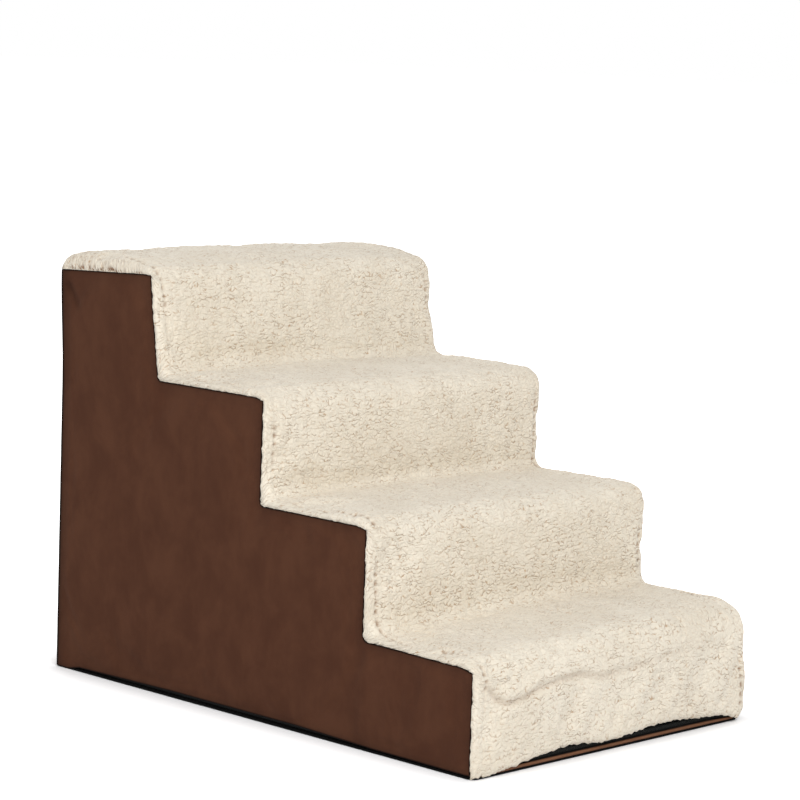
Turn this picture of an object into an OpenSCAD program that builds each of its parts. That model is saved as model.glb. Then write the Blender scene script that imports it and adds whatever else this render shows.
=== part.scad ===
// Pet stairs: a stepped block of glued foam slabs in a zip-off fabric cover.
// +X runs down the stairs, -Y is the left side seen by a climber, +Z is up.
// The origin is on the floor, under the middle of the stairs. Millimetres.

/* [Steps] */
// Number of steps, with the top landing
step_count = 4; // [2:1:6]
// Height of one foam step
step_rise = 99; // [70:1:130]
// Depth of one tread
step_run = 140; // [115:1:200]
// Width of the foam block
core_w = 366; // [280:1:460]
// How far the top riser leans back at its nose
top_lean = 9; // [0:1:16]

/* [Foam] */
// Rounding of the upper slabs' noses
foam_nose = 14; // [10:1:20]
// Rounding of the lowest slab's nose, which wears softest
low_nose = 22; // [16:1:30]

/* [Sherpa runner] */
// Thickness of the sherpa pile with its backing
pile_t = 8; // [5:0.5:12]
// Rise of the crown across the treads
crown_h = 1.2; // [0.5:0.1:3]
// Width of the roll along the side seams
edge_roll = 16; // [10:1:26]
// Gap that the runner keeps to the foam and the side panels
runner_gap = 0.25; // [0.1:0.05:0.5]
// Rounding of the pile over a nose, in the middle of the stairs
pile_nose = 20; // [16:1:26]
// Rounding of the pile in the angle of tread and riser
pile_fillet = 14; // [6:1:24]
// Softer rounding of the lowest nose at its right end
soft_nose = 40; // [30:1:50]
// Height of the front hem at its two corners
hem_corner_z = 1.2; // [0.6:0.2:3]
// Height of the front hem at the top of its arch
hem_arch_z = 12.8; // [9:0.1:14]

/* [Suede panels] */
// Thickness of the brown suede panels
suede_t = 1.6; // [1:0.1:2.4]
// Length of the panel nose that dips towards the riser
dip_l = 15; // [8:1:18]
// Depth of that dip
dip_h = 6; // [3:0.5:8]
// Fillet of the seam in the angle of tread and riser
seam_fillet = 7; // [3:1:12]
// Height of the left panel's hem above the floor
left_hem_z = 7; // [6:0.1:7.5]
// Height above the floor at which the panels end at the back corners
corner_hem_z = 0.6; // [0.3:0.1:1.5]
// Height of the brown facing strip below the front zip
strip_h = 4.2; // [3:0.1:6]

/* [Base] */
// Thickness of the black non-slip base fabric
base_t = 2; // [1.2:0.1:3]

/* [Zip] */
// Distance of the zip's two ends from the back of the foam
zip_inset = 20; // [12:1:40]
// Width of one zip tape
tape_w = 12; // [10:0.5:14]
// Thickness of the zip tape
tape_t = 0.6; // [0.4:0.1:0.8]
// Width of the closed coil
coil_w = 4.2; // [3.6:0.1:5]
// Thickness of the coil on the tape
coil_t = 1.5; // [1.2:0.1:1.8]
// Length of the slider
slider_l = 8.5; // [7:0.5:11]
// Thickness of the slider's plates
plate_t = 0.8; // [0.6:0.1:1]
// Length of the pull tab, from its hinge
pull_l = 22; // [16:1:26]
// Width of the pull tab
pull_w = 5.6; // [4.8:0.1:6]

/* [Hidden] */
suede_brown = "#4f3228";
pile_cream = "#ecdfca";
tape_black = "#232522";
foam_white = "#e9e4d6";
zip_metal = "#8e8c86";

// One overrun serves every cut
cut = 1;
round_fn = 48;
core_l = step_count * step_run;
core_back = suede_t - (suede_t + core_l + pile_t) / 2;
core_front = core_back + core_l;
half_core = core_w / 2;
half_w = half_core + suede_t;

// Depths of the zip inwards from the faces of the foam: the tape lies behind the panels' folded hem
tape_out_d = suede_t;
tape_in_d = tape_out_d + tape_t;
coil_out_d = tape_out_d - coil_t;
slide_gap = 0.25;
coil_gap = 1.2;
flange_t = 0.8;
slider_w = coil_w + 2 * (slide_gap + flange_t);
plate_in_d = tape_in_d + slide_gap + plate_t;
groove_room = 1.8;
groove_d = plate_in_d + groove_room;
zip_corner_r = 8;

// Heights of the zip: low along the sides, higher across the front above the brown strip
side_room = 0.5;
zip_side_z = base_t + side_room + slider_w / 2;
strip_show = 1.2;
zip_front_z = base_t + strip_h + strip_show + coil_w / 2;
groove_top_z = zip_front_z + tape_w + 1.5 * suede_t;
zip_ramp_l = 60;
zip_front_ramp_l = 40;
zip_turn_share = zip_ramp_l / (zip_ramp_l + zip_front_ramp_l);
zip_back_x = core_back + zip_inset;
stop_l = 2;
stop_room = 0.8;
coil_back_x = zip_back_x + stop_room + stop_l + slide_gap;
right_hem_z = zip_side_z + slider_w / 2 + side_room;
hem_drop_l = 40;
hem_step_l = 3;
front_hem_z = base_t + 0.6 * suede_t;
fold_h = 10;

// Slider at rest beside the top stops, and its way to where the zip starts to climb
bridge_l = 4.4;
bridge_w = 1.4;
bridge_t = 0.7;
bar_r = 0.4;
bar_gap = 0.1;
bar_l = 4.4;
post_l = 2.2;
slider_x = coil_back_x + slide_gap + slider_l / 2;
slider_travel = core_front - zip_ramp_l - slider_l / 2 - stop_l - slider_x;
plate_out_y = half_core - coil_out_d + slide_gap + plate_t;
bar_y = plate_out_y + bar_gap + bar_r;
bridge_y = bar_y + bar_r + 2 * bar_gap;

// Places across the runner: the rows crowd where the pile rolls over the seams
inner_row_shares = [1 / 6, 1 / 3, 1 / 2, 2 / 3, 5 / 6];
roll_row_share = 0.4;
edge_rows = [0, suede_t, suede_t + roll_row_share * edge_roll, suede_t + edge_roll];
rows = concat(
    [for (d = edge_rows) d - half_w],
    [for (s = inner_row_shares) (2 * s - 1) * half_w],
    [for (i = [len(edge_rows) - 1:-1:0]) half_w - edge_rows[i]]
);

// Share of the full pile thickness over the distance from a seam, as a share of the roll
roll_shares = [[0, 0.3], [0.1, 0.58], [0.45, 0.9], [1, 1]];
// Share of the far softness of the lowest nose over the width
soft_shares = [[0, 0], [0.6, 0.15], [1, 1]];
// Share of the front hem's lift over the width, from the left corner: two arches and a dip between
hem_shares = [[0, 0], [0.12, 0.12], [0.17, 0.28], [0.33, 1], [0.4, 0.95], [0.5, 0.55], [0.67, 0.92],
              [0.75, 0.92], [0.85, 0.7], [0.92, 0.45], [1, 0.25]];
// Places and heights of the left hem along the side, which sinks towards the front
left_hem_shares = [[0.62, 1], [0.84, 0.55], [0.97, 0.3]];

nose_steps = 5;
fillet_steps = 3;
landing_rows = [0, 0.15 * edge_roll, 0.45 * edge_roll, edge_roll];
hem_rows = [3 * pile_t, 1.2 * pile_t, 0.4 * pile_t, 0];
hem_roll_shares = [1, 1, 0.85, 0.45];

function mix(a, b, w) = a + (b - a) * w;
function tread_z(k) = base_t + k * step_rise;
function foot_x(k) = core_back + (step_count + 1 - k) * step_run;
function nose_x(k) = foot_x(k) - (k == step_count ? top_lean : 0);
// The lowest angle has a wider curve in seam and pile
function fillet_of(k) = k == 2 ? 2 * seam_fillet : seam_fillet;
function pile_fillet_of(k) = k == 2 ? pile_fillet + seam_fillet : pile_fillet;
function foam_nose_of(k) = k == 1 ? low_nose : foam_nose;

// Half reach along X and along Z of the panels' noses, crisp on the left and softer on the right
function left_nose(k) = [dip_l, dip_h];
function right_nose(k) = k == 1 ? [1.2 * low_nose, 1.2 * low_nose] : [dip_l, 1.5 * dip_h];

// A convex nose and a concave angle of the profile, pushed out by t
function nose_arc(k, t, r, steps) = [
    for (i = [0:steps])
        let (a = 90 * i / steps)
        [nose_x(k) + t - r[0] * (1 - sin(a)), tread_z(k) + t - r[1] * (1 - cos(a))]
];
function angle_arc(k, t, r, steps) = [
    for (i = [0:steps])
        let (a = 90 * i / steps)
        [foot_x(k) + t + r * (1 - cos(a)), tread_z(k - 1) + t + r * (1 - sin(a))]
];

// Share of the pile thickness at a distance d from a seam
function roll(d) = lookup(d / edge_roll, roll_shares);
function seam_distance(y) = half_w - abs(y);
function across(y) = (y + half_w) / (2 * half_w);
function pile_at(y) = roll(seam_distance(y)) * (pile_t - crown_h * pow(y / half_w, 2));
function hem_z(y) = mix(hem_corner_z, hem_arch_z, lookup(across(y), hem_shares));

// Nose radii of the runner's two faces at a row
function outer_nose(k, y) =
    let (
        side = y < 0 ? left_nose(k) : right_nose(k),
        soft = k == 1 ? mix(pile_nose, soft_nose, lookup(across(y), soft_shares)) : pile_nose,
        inside = (roll(seam_distance(y)) - roll(0)) / (1 - roll(0))
    )
    mix(side + [suede_t, suede_t], [soft, soft], inside);
function inner_nose(k, y) =
    seam_distance(y) > suede_t || (y > 0 && k == 1 && seam_distance(y) > 0)
        ? [foam_nose_of(k), foam_nose_of(k)]
        : (y < 0 ? left_nose(k) : right_nose(k));

// One row of the runner from the back seam to the front hem
function outer_row(y) =
    let (t = pile_at(y))
    concat(
        [for (b = landing_rows) [core_back - suede_t + b, tread_z(step_count) + t * roll(b)]],
        [for (k = [step_count:-1:1]) each concat(
            nose_arc(k, t, outer_nose(k, y), nose_steps),
            k > 1 ? angle_arc(k, t, pile_fillet_of(k), fillet_steps) : []
        )],
        [for (i = [0:len(hem_rows) - 1])
            [core_front + t * hem_roll_shares[i], hem_z(y) + hem_rows[i]]]
    );
function inner_row(y) =
    concat(
        [for (b = landing_rows) [core_back - suede_t + b, tread_z(step_count) + runner_gap]],
        [for (k = [step_count:-1:1]) each concat(
            nose_arc(k, runner_gap, inner_nose(k, y), nose_steps),
            k > 1 ? angle_arc(k, runner_gap, fillet_of(k), fillet_steps) : []
        )],
        [for (h = hem_rows) [core_front + runner_gap, hem_z(y) + h]]
    );

// A closed solid between an outer and an inner grid of points, each [station][row]
module shell(outer, inner) {
    stations = len(outer);
    n = len(outer[0]);
    function o(i, j) = i * n + j;
    function q(i, j) = stations * n + i * n + j;
    function quad(a, b, c, d) = [[a, b, c], [a, c, d]];
    polyhedron(
        points = concat(
            [for (line = outer) each line],
            [for (line = inner) each line]
        ),
        faces = concat(
            [for (i = [0:stations - 2], j = [0:n - 2]) each concat(
                quad(o(i, j), o(i, j + 1), o(i + 1, j + 1), o(i + 1, j)),
                quad(q(i, j), q(i + 1, j), q(i + 1, j + 1), q(i, j + 1))
            )],
            [for (i = [0:stations - 2]) each concat(
                quad(o(i, 0), o(i + 1, 0), q(i + 1, 0), q(i, 0)),
                quad(o(i, n - 1), q(i, n - 1), q(i + 1, n - 1), o(i + 1, n - 1))
            )],
            [for (j = [0:n - 2]) each concat(
                quad(o(0, j), q(0, j), q(0, j + 1), o(0, j + 1)),
                quad(o(stations - 1, j), o(stations - 1, j + 1),
                     q(stations - 1, j + 1), q(stations - 1, j))
            )]
        )
    );
}

// Outline of a side panel or slab row by row of the profile, closed by the given hem points
function profile(radii, hem) = concat(
    [[core_back, tread_z(step_count)]],
    [for (k = [step_count:-1:1]) each concat(
        nose_arc(k, 0, radii[k - 1], 2 * nose_steps),
        k > 1 ? angle_arc(k, 0, fillet_of(k), 2 * fillet_steps) : []
    )],
    hem
);

module upright(y, t) {
    translate([0, y + t, 0])
        rotate([90, 0, 0])
            linear_extrude(t)
                children();
}

// Plan of the zip at depth d inside the foam's faces: [x, y, share of the climb to the front]
function zip_plan(d) =
    let (
        c = zip_corner_r,
        side_share = (zip_ramp_l - c) / (zip_ramp_l + zip_front_ramp_l),
        start = [[zip_back_x, half_core - d, 0], [core_front - zip_ramp_l, half_core - d, 0]],
        turn = [for (i = [0:nose_steps])
            let (a = 90 * i / nose_steps)
            [core_front - c + (c - d) * sin(a), half_core - c + (c - d) * cos(a),
             mix(side_share, zip_turn_share, i / nose_steps)]],
        front = [[core_front - d, half_core - c - zip_front_ramp_l, 1]],
        half = concat(start, turn, front)
    )
    concat(
        [for (p = half) [p[0], -p[1], p[2]]],
        [for (i = [len(half) - 1:-1:0]) half[i]]
    );
function zip_z(share) = mix(zip_side_z, zip_front_z, share);

// A band along the zip between two depths; its edges are heights above the zip's middle line,
// or with on_base the lower edge lies on the base fabric
module zip_band(d_in, d_out, low, high, on_base = false, from_x = zip_back_x) {
    function line(d) = [
        for (p = zip_plan(d))
            let (x = max(p[0], from_x), z = zip_z(p[2]))
            [[x, p[1], on_base ? base_t : z + low], [x, p[1], z + high]]
    ];
    shell(line(d_out), line(d_in));
}

module foam_slab(k) {
    top = tread_z(k);
    low = tread_z(k - 1);
    color(foam_white)
        difference() {
            upright(-half_core, core_w)
                polygon(concat(
                    [[core_back, low], [core_back, top]],
                    nose_arc(k, 0, [foam_nose_of(k), foam_nose_of(k)], 2 * nose_steps),
                    [[foot_x(k), low]]
                ));
            if (k == 1) zip_groove();
        }
}

// Room for the zip round the foot of the lowest slab, where the real foam gives way
module zip_groove() {
    groove_h = groove_top_z - base_t + cut;
    for (s = [-1, 1])
        translate([zip_back_x - stop_l, s * half_core - (s > 0 ? groove_d : cut), base_t - cut])
            cube([core_l, groove_d + cut, groove_h]);
    translate([core_front - groove_d, -half_core - cut, base_t - cut])
        cube([groove_d + cut, core_w + 2 * cut, groove_h]);
}

module sherpa_runner() {
    outer_rows = [for (y = rows) outer_row(y)];
    inner_rows = [for (y = rows) inner_row(y)];
    stations = len(outer_rows[0]);
    color(pile_cream)
        shell(
            [for (i = [0:stations - 1]) [for (j = [0:len(rows) - 1])
                [outer_rows[j][i][0], rows[j], outer_rows[j][i][1]]]],
            [for (i = [0:stations - 1]) [for (j = [0:len(rows) - 1])
                [inner_rows[j][i][0], rows[j], inner_rows[j][i][1]]]]
        );
}

module left_side_panel() {
    hem = concat(
        [for (i = [len(left_hem_shares) - 1:-1:0])
            let (s = left_hem_shares[i])
            [core_back + s[0] * core_l, mix(base_t, left_hem_z, s[1])]],
        [[zip_back_x, left_hem_z], [zip_back_x - hem_step_l, corner_hem_z], [core_back, corner_hem_z]]
    );
    color(suede_brown) {
        upright(-half_w, suede_t)
            polygon(profile(
                [for (k = [1:step_count]) left_nose(k)],
                concat([[core_front, front_hem_z]], hem)
            ));
        hem_fold(-half_core);
    }
}

module right_side_panel() {
    color(suede_brown) {
        upright(half_core, suede_t)
            polygon(profile(
                [for (k = [1:step_count]) right_nose(k)],
                [[core_front, front_hem_z], [core_front - hem_drop_l, right_hem_z],
                 [zip_back_x, right_hem_z], [zip_back_x - hem_step_l, corner_hem_z],
                 [core_back, corner_hem_z]]
            ));
        hem_fold(half_core - suede_t);
    }
}

// The hem turned in behind a side panel, where the upper tape is sewn on
module hem_fold(y) {
    fold_x = zip_back_x + hem_step_l;
    translate([fold_x, y, right_hem_z])
        cube([core_front - zip_ramp_l - fold_x, suede_t, fold_h]);
}

module back_panel() {
    color(suede_brown)
        translate([core_back - suede_t, -half_w, corner_hem_z])
            cube([suede_t, 2 * half_w, tread_z(step_count) - corner_hem_z]);
}

// The strip stands on the base; its ends sink with the zip towards the corners
module front_strip() {
    reach = half_core - zip_corner_r;
    level = reach - zip_front_ramp_l;
    end_h = zip_z(zip_turn_share) - coil_w / 2 - strip_show - base_t;
    color(suede_brown)
        translate([core_front - suede_t, 0, base_t])
            rotate([90, 0, 90])
                linear_extrude(suede_t)
                    polygon([
                        [-reach, 0], [reach, 0], [reach, end_h],
                        [level, strip_h], [-level, strip_h], [-reach, end_h]
                    ]);
}

module base_panel() {
    r = zip_corner_r;
    color(tape_black)
        linear_extrude(base_t) {
            translate([core_back, -half_core])
                square([zip_inset, core_w]);
            translate([zip_back_x, -half_w])
                square([core_front - r - zip_back_x, 2 * half_w]);
            translate([core_front - 2 * r, r - half_w])
                square([2 * r, 2 * (half_w - r)]);
            for (s = [-1, 1])
                translate([core_front - r, s * (half_w - r)])
                    circle(r, $fn = round_fn);
        }
}

module zipper_tape_upper() {
    color(tape_black) zip_band(tape_in_d, tape_out_d, coil_gap / 2, tape_w);
}

module zipper_tape_lower() {
    color(tape_black) zip_band(tape_in_d, tape_out_d, 0, -coil_gap / 2, on_base = true);
}

module zipper_coil_upper() {
    color(tape_black)
        zip_band(tape_out_d, coil_out_d, coil_gap / 2, coil_w / 2, from_x = coil_back_x);
}

module zipper_coil_lower() {
    color(tape_black)
        zip_band(tape_out_d, coil_out_d, -coil_w / 2, -coil_gap / 2, from_x = coil_back_x);
}

// A clamp on the tape just before the coil starts; its face is as high as the coil
module zip_stop(y, low, high) {
    translate([zip_back_x + stop_room, y, zip_side_z + low])
        cube([stop_l, coil_t, high - low]);
}

module zipper_top_stops() {
    y = half_core - tape_out_d;
    color(zip_metal) {
        zip_stop(y, coil_gap / 2, coil_w / 2);
        zip_stop(y, -coil_w / 2, -coil_gap / 2);
    }
}

module zipper_bottom_stop() {
    color(zip_metal) zip_stop(-half_core + coil_out_d, -coil_w / 2, coil_w / 2);
}

// One slider plate in plan, wide at the mouth and drawn in at the tail
module slider_plan() {
    half_l = slider_l / 2;
    half_tail = slider_w / 2 - slide_gap;
    polygon([
        [-half_l + flange_t, -slider_w / 2],
        [half_l - flange_t, -half_tail],
        [half_l, -coil_w / 2],
        [half_l, coil_w / 2],
        [half_l - flange_t, half_tail],
        [-half_l + flange_t, slider_w / 2],
        [-half_l, coil_w / 2],
        [-half_l, -coil_w / 2]
    ]);
}

// A block of the slider between two Y faces, centred on the zip in Z
module slider_block(x0, x1, y0, y1, half_z) {
    translate([slider_x + x0, y0, zip_side_z - half_z])
        cube([x1 - x0, y1 - y0, 2 * half_z]);
}

module slider_plate(y0, y1) {
    translate([slider_x, y1, zip_side_z])
        rotate([90, 0, 0])
            linear_extrude(y1 - y0)
                slider_plan();
}

module zipper_slider() {
    plate_y = plate_out_y - plate_t;
    inner_y = half_core - tape_in_d - slide_gap;
    flange_y = half_core - tape_out_d + slide_gap;
    half_l = slider_l / 2;
    half_bridge = bridge_l / 2;
    channel = coil_w / 2 + slide_gap;
    color(zip_metal) {
        slider_plate(plate_y, plate_out_y);
        slider_plate(inner_y - plate_t, inner_y);
        slider_block(-half_l, -half_l + post_l, inner_y - plate_t, plate_out_y, coil_gap / 2 - slide_gap);
        for (s = [-1, 1])
            translate([slider_x - half_l + flange_t, flange_y,
                       zip_side_z + (s > 0 ? channel : -channel - flange_t + slide_gap)])
                cube([slider_l - 2 * flange_t, plate_out_y - flange_y, flange_t - slide_gap]);
        slider_block(-half_bridge, -half_bridge + bridge_t, plate_y, bridge_y + bridge_t, bridge_w / 2);
        slider_block(half_bridge - bridge_t, half_bridge, plate_y, bridge_y + bridge_t, bridge_w / 2);
        slider_block(-half_bridge, half_bridge, bridge_y, bridge_y + bridge_t, bridge_w / 2);
    }
}

module zipper_pull() {
    arm_z = bridge_w / 2 + 3 * bar_gap;
    arm_l = bridge_l / 2 + 3 * bar_gap;
    tip_x = pull_l - pull_w / 2;
    color(zip_metal)
        translate([slider_x, bar_y, zip_side_z]) {
            translate([0, 0, -bar_l / 2])
                cylinder(r = bar_r, h = bar_l, $fn = round_fn);
            rotate([90, 0, 0])
                translate([0, 0, -bar_r])
                    linear_extrude(2 * bar_r)
                        difference() {
                            union() {
                                for (s = [-1, 1])
                                    translate([0, s > 0 ? arm_z : -bar_l / 2])
                                        square([arm_l + bar_r, bar_l / 2 - arm_z]);
                                translate([arm_l, -pull_w / 2])
                                    square([tip_x - arm_l, pull_w]);
                                translate([tip_x, 0])
                                    circle(pull_w / 2, $fn = round_fn);
                            }
                            translate([tip_x, 0])
                                circle(pull_w / 4, $fn = round_fn);
                        }
        }
}

for (k = [1:step_count])
    foam_slab(k);
sherpa_runner();
left_side_panel();
right_side_panel();
back_panel();
front_strip();
base_panel();
zipper_tape_upper();
zipper_tape_lower();
zipper_coil_upper();
zipper_coil_lower();
zipper_top_stops();
zipper_bottom_stop();
zipper_slider();
zipper_pull();
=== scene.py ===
"""Pet stairs: a zip-off cover of sherpa and microsuede, sewn over four glued slabs of foam.

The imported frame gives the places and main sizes, in metres: +X runs down the stairs, -Y is the left side
and +Z is up. Each operator makes or finishes one piece, or one group of like pieces, and the last one sets
the studio.
"""
import math

import bpy
import numpy as np
from mathutils import Matrix, Vector
from mathutils.geometry import delaunay_2d_cdt


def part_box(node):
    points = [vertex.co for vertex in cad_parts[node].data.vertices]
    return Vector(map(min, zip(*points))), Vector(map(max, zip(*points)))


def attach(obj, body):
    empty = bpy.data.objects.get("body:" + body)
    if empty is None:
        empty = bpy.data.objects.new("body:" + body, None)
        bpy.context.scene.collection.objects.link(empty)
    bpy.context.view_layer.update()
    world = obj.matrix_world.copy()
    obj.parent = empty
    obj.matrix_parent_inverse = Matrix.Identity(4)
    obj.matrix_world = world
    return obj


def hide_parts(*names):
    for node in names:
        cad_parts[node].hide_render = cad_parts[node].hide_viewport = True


bl_info = {
    "name": "Pet Stairs",
    "version": (1, 0, 0),
    "blender": (4, 5, 0),
    "location": "3D View > Sidebar > Pet Stairs",
    "description": "Pet stairs of foam in a zip-off cover of sherpa and microsuede",
    "category": "Add Mesh",
}

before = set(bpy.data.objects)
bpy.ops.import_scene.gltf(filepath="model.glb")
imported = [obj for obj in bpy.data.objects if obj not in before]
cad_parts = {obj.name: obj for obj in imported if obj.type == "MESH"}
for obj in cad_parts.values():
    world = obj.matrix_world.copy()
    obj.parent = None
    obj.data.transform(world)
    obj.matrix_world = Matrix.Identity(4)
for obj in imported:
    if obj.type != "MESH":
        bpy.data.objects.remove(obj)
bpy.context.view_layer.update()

# Places that the frame gives
STEPS = sum(name.startswith("foam_slab_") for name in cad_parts)
SLABS = {k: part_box(f"foam_slab_{k}") for k in range(1, STEPS + 1)}
CORE_BACK, CORE_FRONT = SLABS[1][0].x, SLABS[1][1].x
HALF_CORE = SLABS[1][1].y
HALF_W = -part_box("left_side_panel")[0].y
SUEDE_T = HALF_W - HALF_CORE
BASE_T = SLABS[1][0].z
TOP_Z = SLABS[STEPS][1].z
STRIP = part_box("front_strip")
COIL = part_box("zipper_coil_upper")
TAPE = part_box("zipper_tape_upper")
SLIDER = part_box("zipper_slider")
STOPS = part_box("zipper_top_stops")
ZIP_SIDE_Z = (SLIDER[0].z + SLIDER[1].z) / 2
ZIP_BACK_X = TAPE[0].x
COIL_HALF = (STOPS[1].z - STOPS[0].z) / 2
ZIP_FRONT_Z = COIL[1].z - COIL_HALF
TAPE_OUT_D = CORE_FRONT - STRIP[0].x
TAPE_REACH = TAPE[1].z - ZIP_FRONT_Z

# The front hem: lift over the width from the left corner, as shares
HEM_LIFT = [(0, 0.05), (0.055, 0.07), (0.08, 0.14), (0.13, 0.3), (0.17, 0.47), (0.22, 0.68), (0.33, 0.95),
            (0.38, 0.9), (0.44, 0.7), (0.52, 0.7), (0.6, 0.95), (0.66, 1.08), (0.71, 1.1), (0.8, 0.9),
            (0.88, 0.75), (0.95, 0.5), (1, 0.2)]
# The left hem's height over the length from the back, as shares
LEFT_HEM = [(0.06, 0.5), (0.3, 1.0), (0.6, 1.0), (0.78, 0.4), (0.97, 0.25)]
# The crease across the lowest riser: share of the width, height in metres, share of the depth
CREASE = [(0.015, 0.084, 0.1), (0.045, 0.0745, 0.8), (0.06, 0.069, 1.0), (0.085, 0.0645, 1.0),
          (0.115, 0.064, 1.0), (0.16, 0.0676, 0.95), (0.2, 0.0718, 0.85), (0.25, 0.0738, 0.8),
          (0.3, 0.0758, 0.9), (0.353, 0.0757, 0.9), (0.405, 0.0728, 0.75), (0.457, 0.07, 0.65),
          (0.494, 0.0715, 0.5), (0.7, 0.077, 0.25), (0.9, 0.08, 0.0)]

# How far the steps' fronts stand out at the left and the right end, from the back to the lowest step
STEPS_OUT = [(0.0, 0.0), (0.0, 0.0), (0.005, 0.005), (0.002, 0.0058), (-0.0045, 0.0)]
# How far down from the landing its sag and the top step's lean reach
SAG_DEPTH, LEAN_DEPTH = 0.07, 0.12
# How far the lowest tread stands up at the left and the right end, and the heights over which that starts
# and ends
TREAD_TILT, TILT_FROM, TILT_TO = (-0.0045, 0.0045), (0.078, 0.098), (0.11, 0.15)
# The share of the tilt that the tread has at its back, and where it starts there beside the riser
TILT_AT_BACK, TILT_BACK_X = 0.6, (-0.03, 0.005)
# The lowest riser's lean at its right end: its reach, its heights and its shares of the width
FRONT_LEAN, FRONT_LEAN_Z, FRONT_LEAN_Y = 0.0048, (0.03, 0.075), (0.6, 1.0)
# How far behind the front that lean and the tread's tilt are in full
FULL_BEHIND = 0.02
# How far the front corners are tucked in at the floor, at the left and the right
CORNER_TUCK = (0.0012, 0.009)
# Where a tuck starts and ends beside the core's front, its height and its width
TUCK_X, TUCK_Z, TUCK_Y = (-0.007, 0.003), 0.018, 0.03

# Rounding of the right panel's lowest nose, and of the tight corner that ends a nose on the left
LOW_NOSE_R, TIGHT_R = 0.0264, 0.0008
# Share of the dip in the noses on the left: those of the highest and the lowest step, and the others'
LEFT_DIP, MIDDLE_DIP = {STEPS: 0.1, 1: 0.6}, 0.4
# The softer rounding of the pile's lowest nose over the width, as shares, and how much of it goes down
SOFT_NOSE, SOFT_DIP = ([0, 0.6, 1], [0, 0.15, 1]), 0.2
# Length of a quarter circle over its radius, rounded up, and how the pile leaves its seam, as a power
QUARTER_ARC, LEAVING = 1.6, 1.6
# Height of a row of even triangles over their side
TRIANGLE_ROW = 0.87
# Rings of points along a sheet's edge: their depths as shares of its thickness
EDGE_RINGS = (0.15, 0.5, 1.2)
# Share of their side by which the inner triangles keep clear of the last ring
RING_GAP = 0.45
# Points this near a sheet's edge lie on it
RIM = 1e-7
# Stands for zero below a fraction line
TINY = 1e-12


def tread_z(k):
    """Height of tread k over the floor; tread 0 is the top of the base."""
    return SLABS[k][1].z if k else BASE_T


def foot_x(k):
    """Place of riser k at its foot."""
    return SLABS[k][1].x


def length(name, description, default):
    """A length that a user may change."""
    return bpy.props.FloatProperty(name=name, description=description, default=default, min=0.0,
                                   precision=4, unit="LENGTH")


def linear(red, green, blue):
    """A colour written in display values from 0 to 255, as Blender's linear colour."""
    shares = [c / 255 for c in (red, green, blue)]
    return tuple(s / 12.92 if s <= 0.04045 else ((s + 0.055) / 1.055) ** 2.4 for s in shares)


def colour(name, description, *display):
    """A colour that a user may change."""
    return bpy.props.FloatVectorProperty(name=name, description=description, default=linear(*display),
                                         size=3, min=0.0, max=1.0, subtype="COLOR")


class CoverSizes(bpy.types.PropertyGroup):
    """Sizes of the cover and its zip."""

    pile: length("Pile", "Thickness of the sherpa pile in the middle", 0.008)
    crown: length("Crown", "How much thinner the pile lies beside the seams", 0.0012)
    roll: length("Seam roll", "Width of the roll of pile along a seam", 0.0085)
    stitch_gap: length("Stitch gap", "Distance of the stitches in the pile from each other", 0.008)
    landing_puff: length("Landing puff", "How much higher the pile stands at the landing's back", 0.0084)
    back_lean: length("Back lean", "How far the whole top step leans back", 0.0045)
    top_lean: length("Top lean", "How far the top riser leans back", 0.009)
    back_sag: length("Back sag", "How far the landing sinks towards its back seam", 0.0055)
    nose_reach: length("Nose reach", "Length of a panel's nose that dips towards the riser", 0.015)
    nose_dip: length("Nose dip", "Depth of that dip", 0.006)
    pile_nose: length("Pile nose", "Rounding of the pile over a nose", 0.02)
    soft_nose: length("Soft nose", "Rounding of the lowest nose at its right end", 0.047)
    seam_fillet: length("Seam fillet", "Rounding of the seam in the angle of tread and riser", 0.0045)
    pile_fillet: length("Pile fillet", "Rounding of the pile in that angle", 0.014)
    hem_low: length("Hem corner", "Height of the front hem at the left corner", 0.0012)
    hem_high: length("Hem arch", "Height of the front hem at the top of its arch", 0.0142)
    left_hem: length("Left hem", "Height of the left panel's hem", 0.0062)
    puff: length("Puff", "How far the side panels stand off the foam in their middle", 0.0012)
    corner_r: length("Zip corner", "Radius of the zip at the front corners", 0.008)
    side_ramp: length("Side ramp", "Length over which the zip climbs along the sides", 0.06)
    front_ramp: length("Front ramp", "Length over which the zip climbs along the front", 0.04)
    tooth_gap: length("Tooth gap", "Distance between two teeth of one coil", 0.0013)
    dot_gap: length("Dot gap", "Distance between the grip dots", 0.012)


class CoverColours(bpy.types.PropertyGroup):
    """Colours of the fabrics, the foam and the zip."""

    pile: colour("Pile", "Sherpa pile", 232, 223, 206)
    pile_shade: colour("Pile shade", "Sherpa pile in the flat places", 226, 216, 198)
    # Painted shade in the gaps under the tufts and in the dips between the curls
    crevice_shade: colour("Crevice", "Shaded gaps under the tufts of the pile", 180, 141, 98)
    # Painted shade in the gaps between the tufts at the landing's seam, in the stitches' dents and in the
    # crease's fold
    hollow_shade: colour("Seam gap", "Gaps between the tufts at the stitches", 134, 92, 54)
    suede: colour("Suede", "Microsuede", 86, 55, 40)
    suede_dark: colour("Suede shade", "Microsuede brushed the other way", 76, 47, 34)
    # Painted shade at the suede's seams, at the back's corner and in the side panels' crease
    suede_painted_shade: colour("Suede edge", "Microsuede turned in at a seam", 20, 12, 9)
    # The front strip's suede, painted paler than the panels' as a painted highlight for the light on its
    # front
    strip: colour("Strip", "Microsuede of the front strip, brushed the pale way", 124, 87, 65)
    tape: colour("Tape", "Zip tape and coil", 16, 17, 16)
    base: colour("Base", "Non-slip base fabric", 10, 10, 10)
    dots: colour("Dots", "Grip dots", 36, 36, 37)
    foam: colour("Foam", "Foam slabs", 233, 228, 212)
    metal: colour("Metal", "Slider, pull and stops", 96, 95, 93)
    floor: colour("Floor", "Studio floor", 250, 250, 251)


# Shader maths


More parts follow.
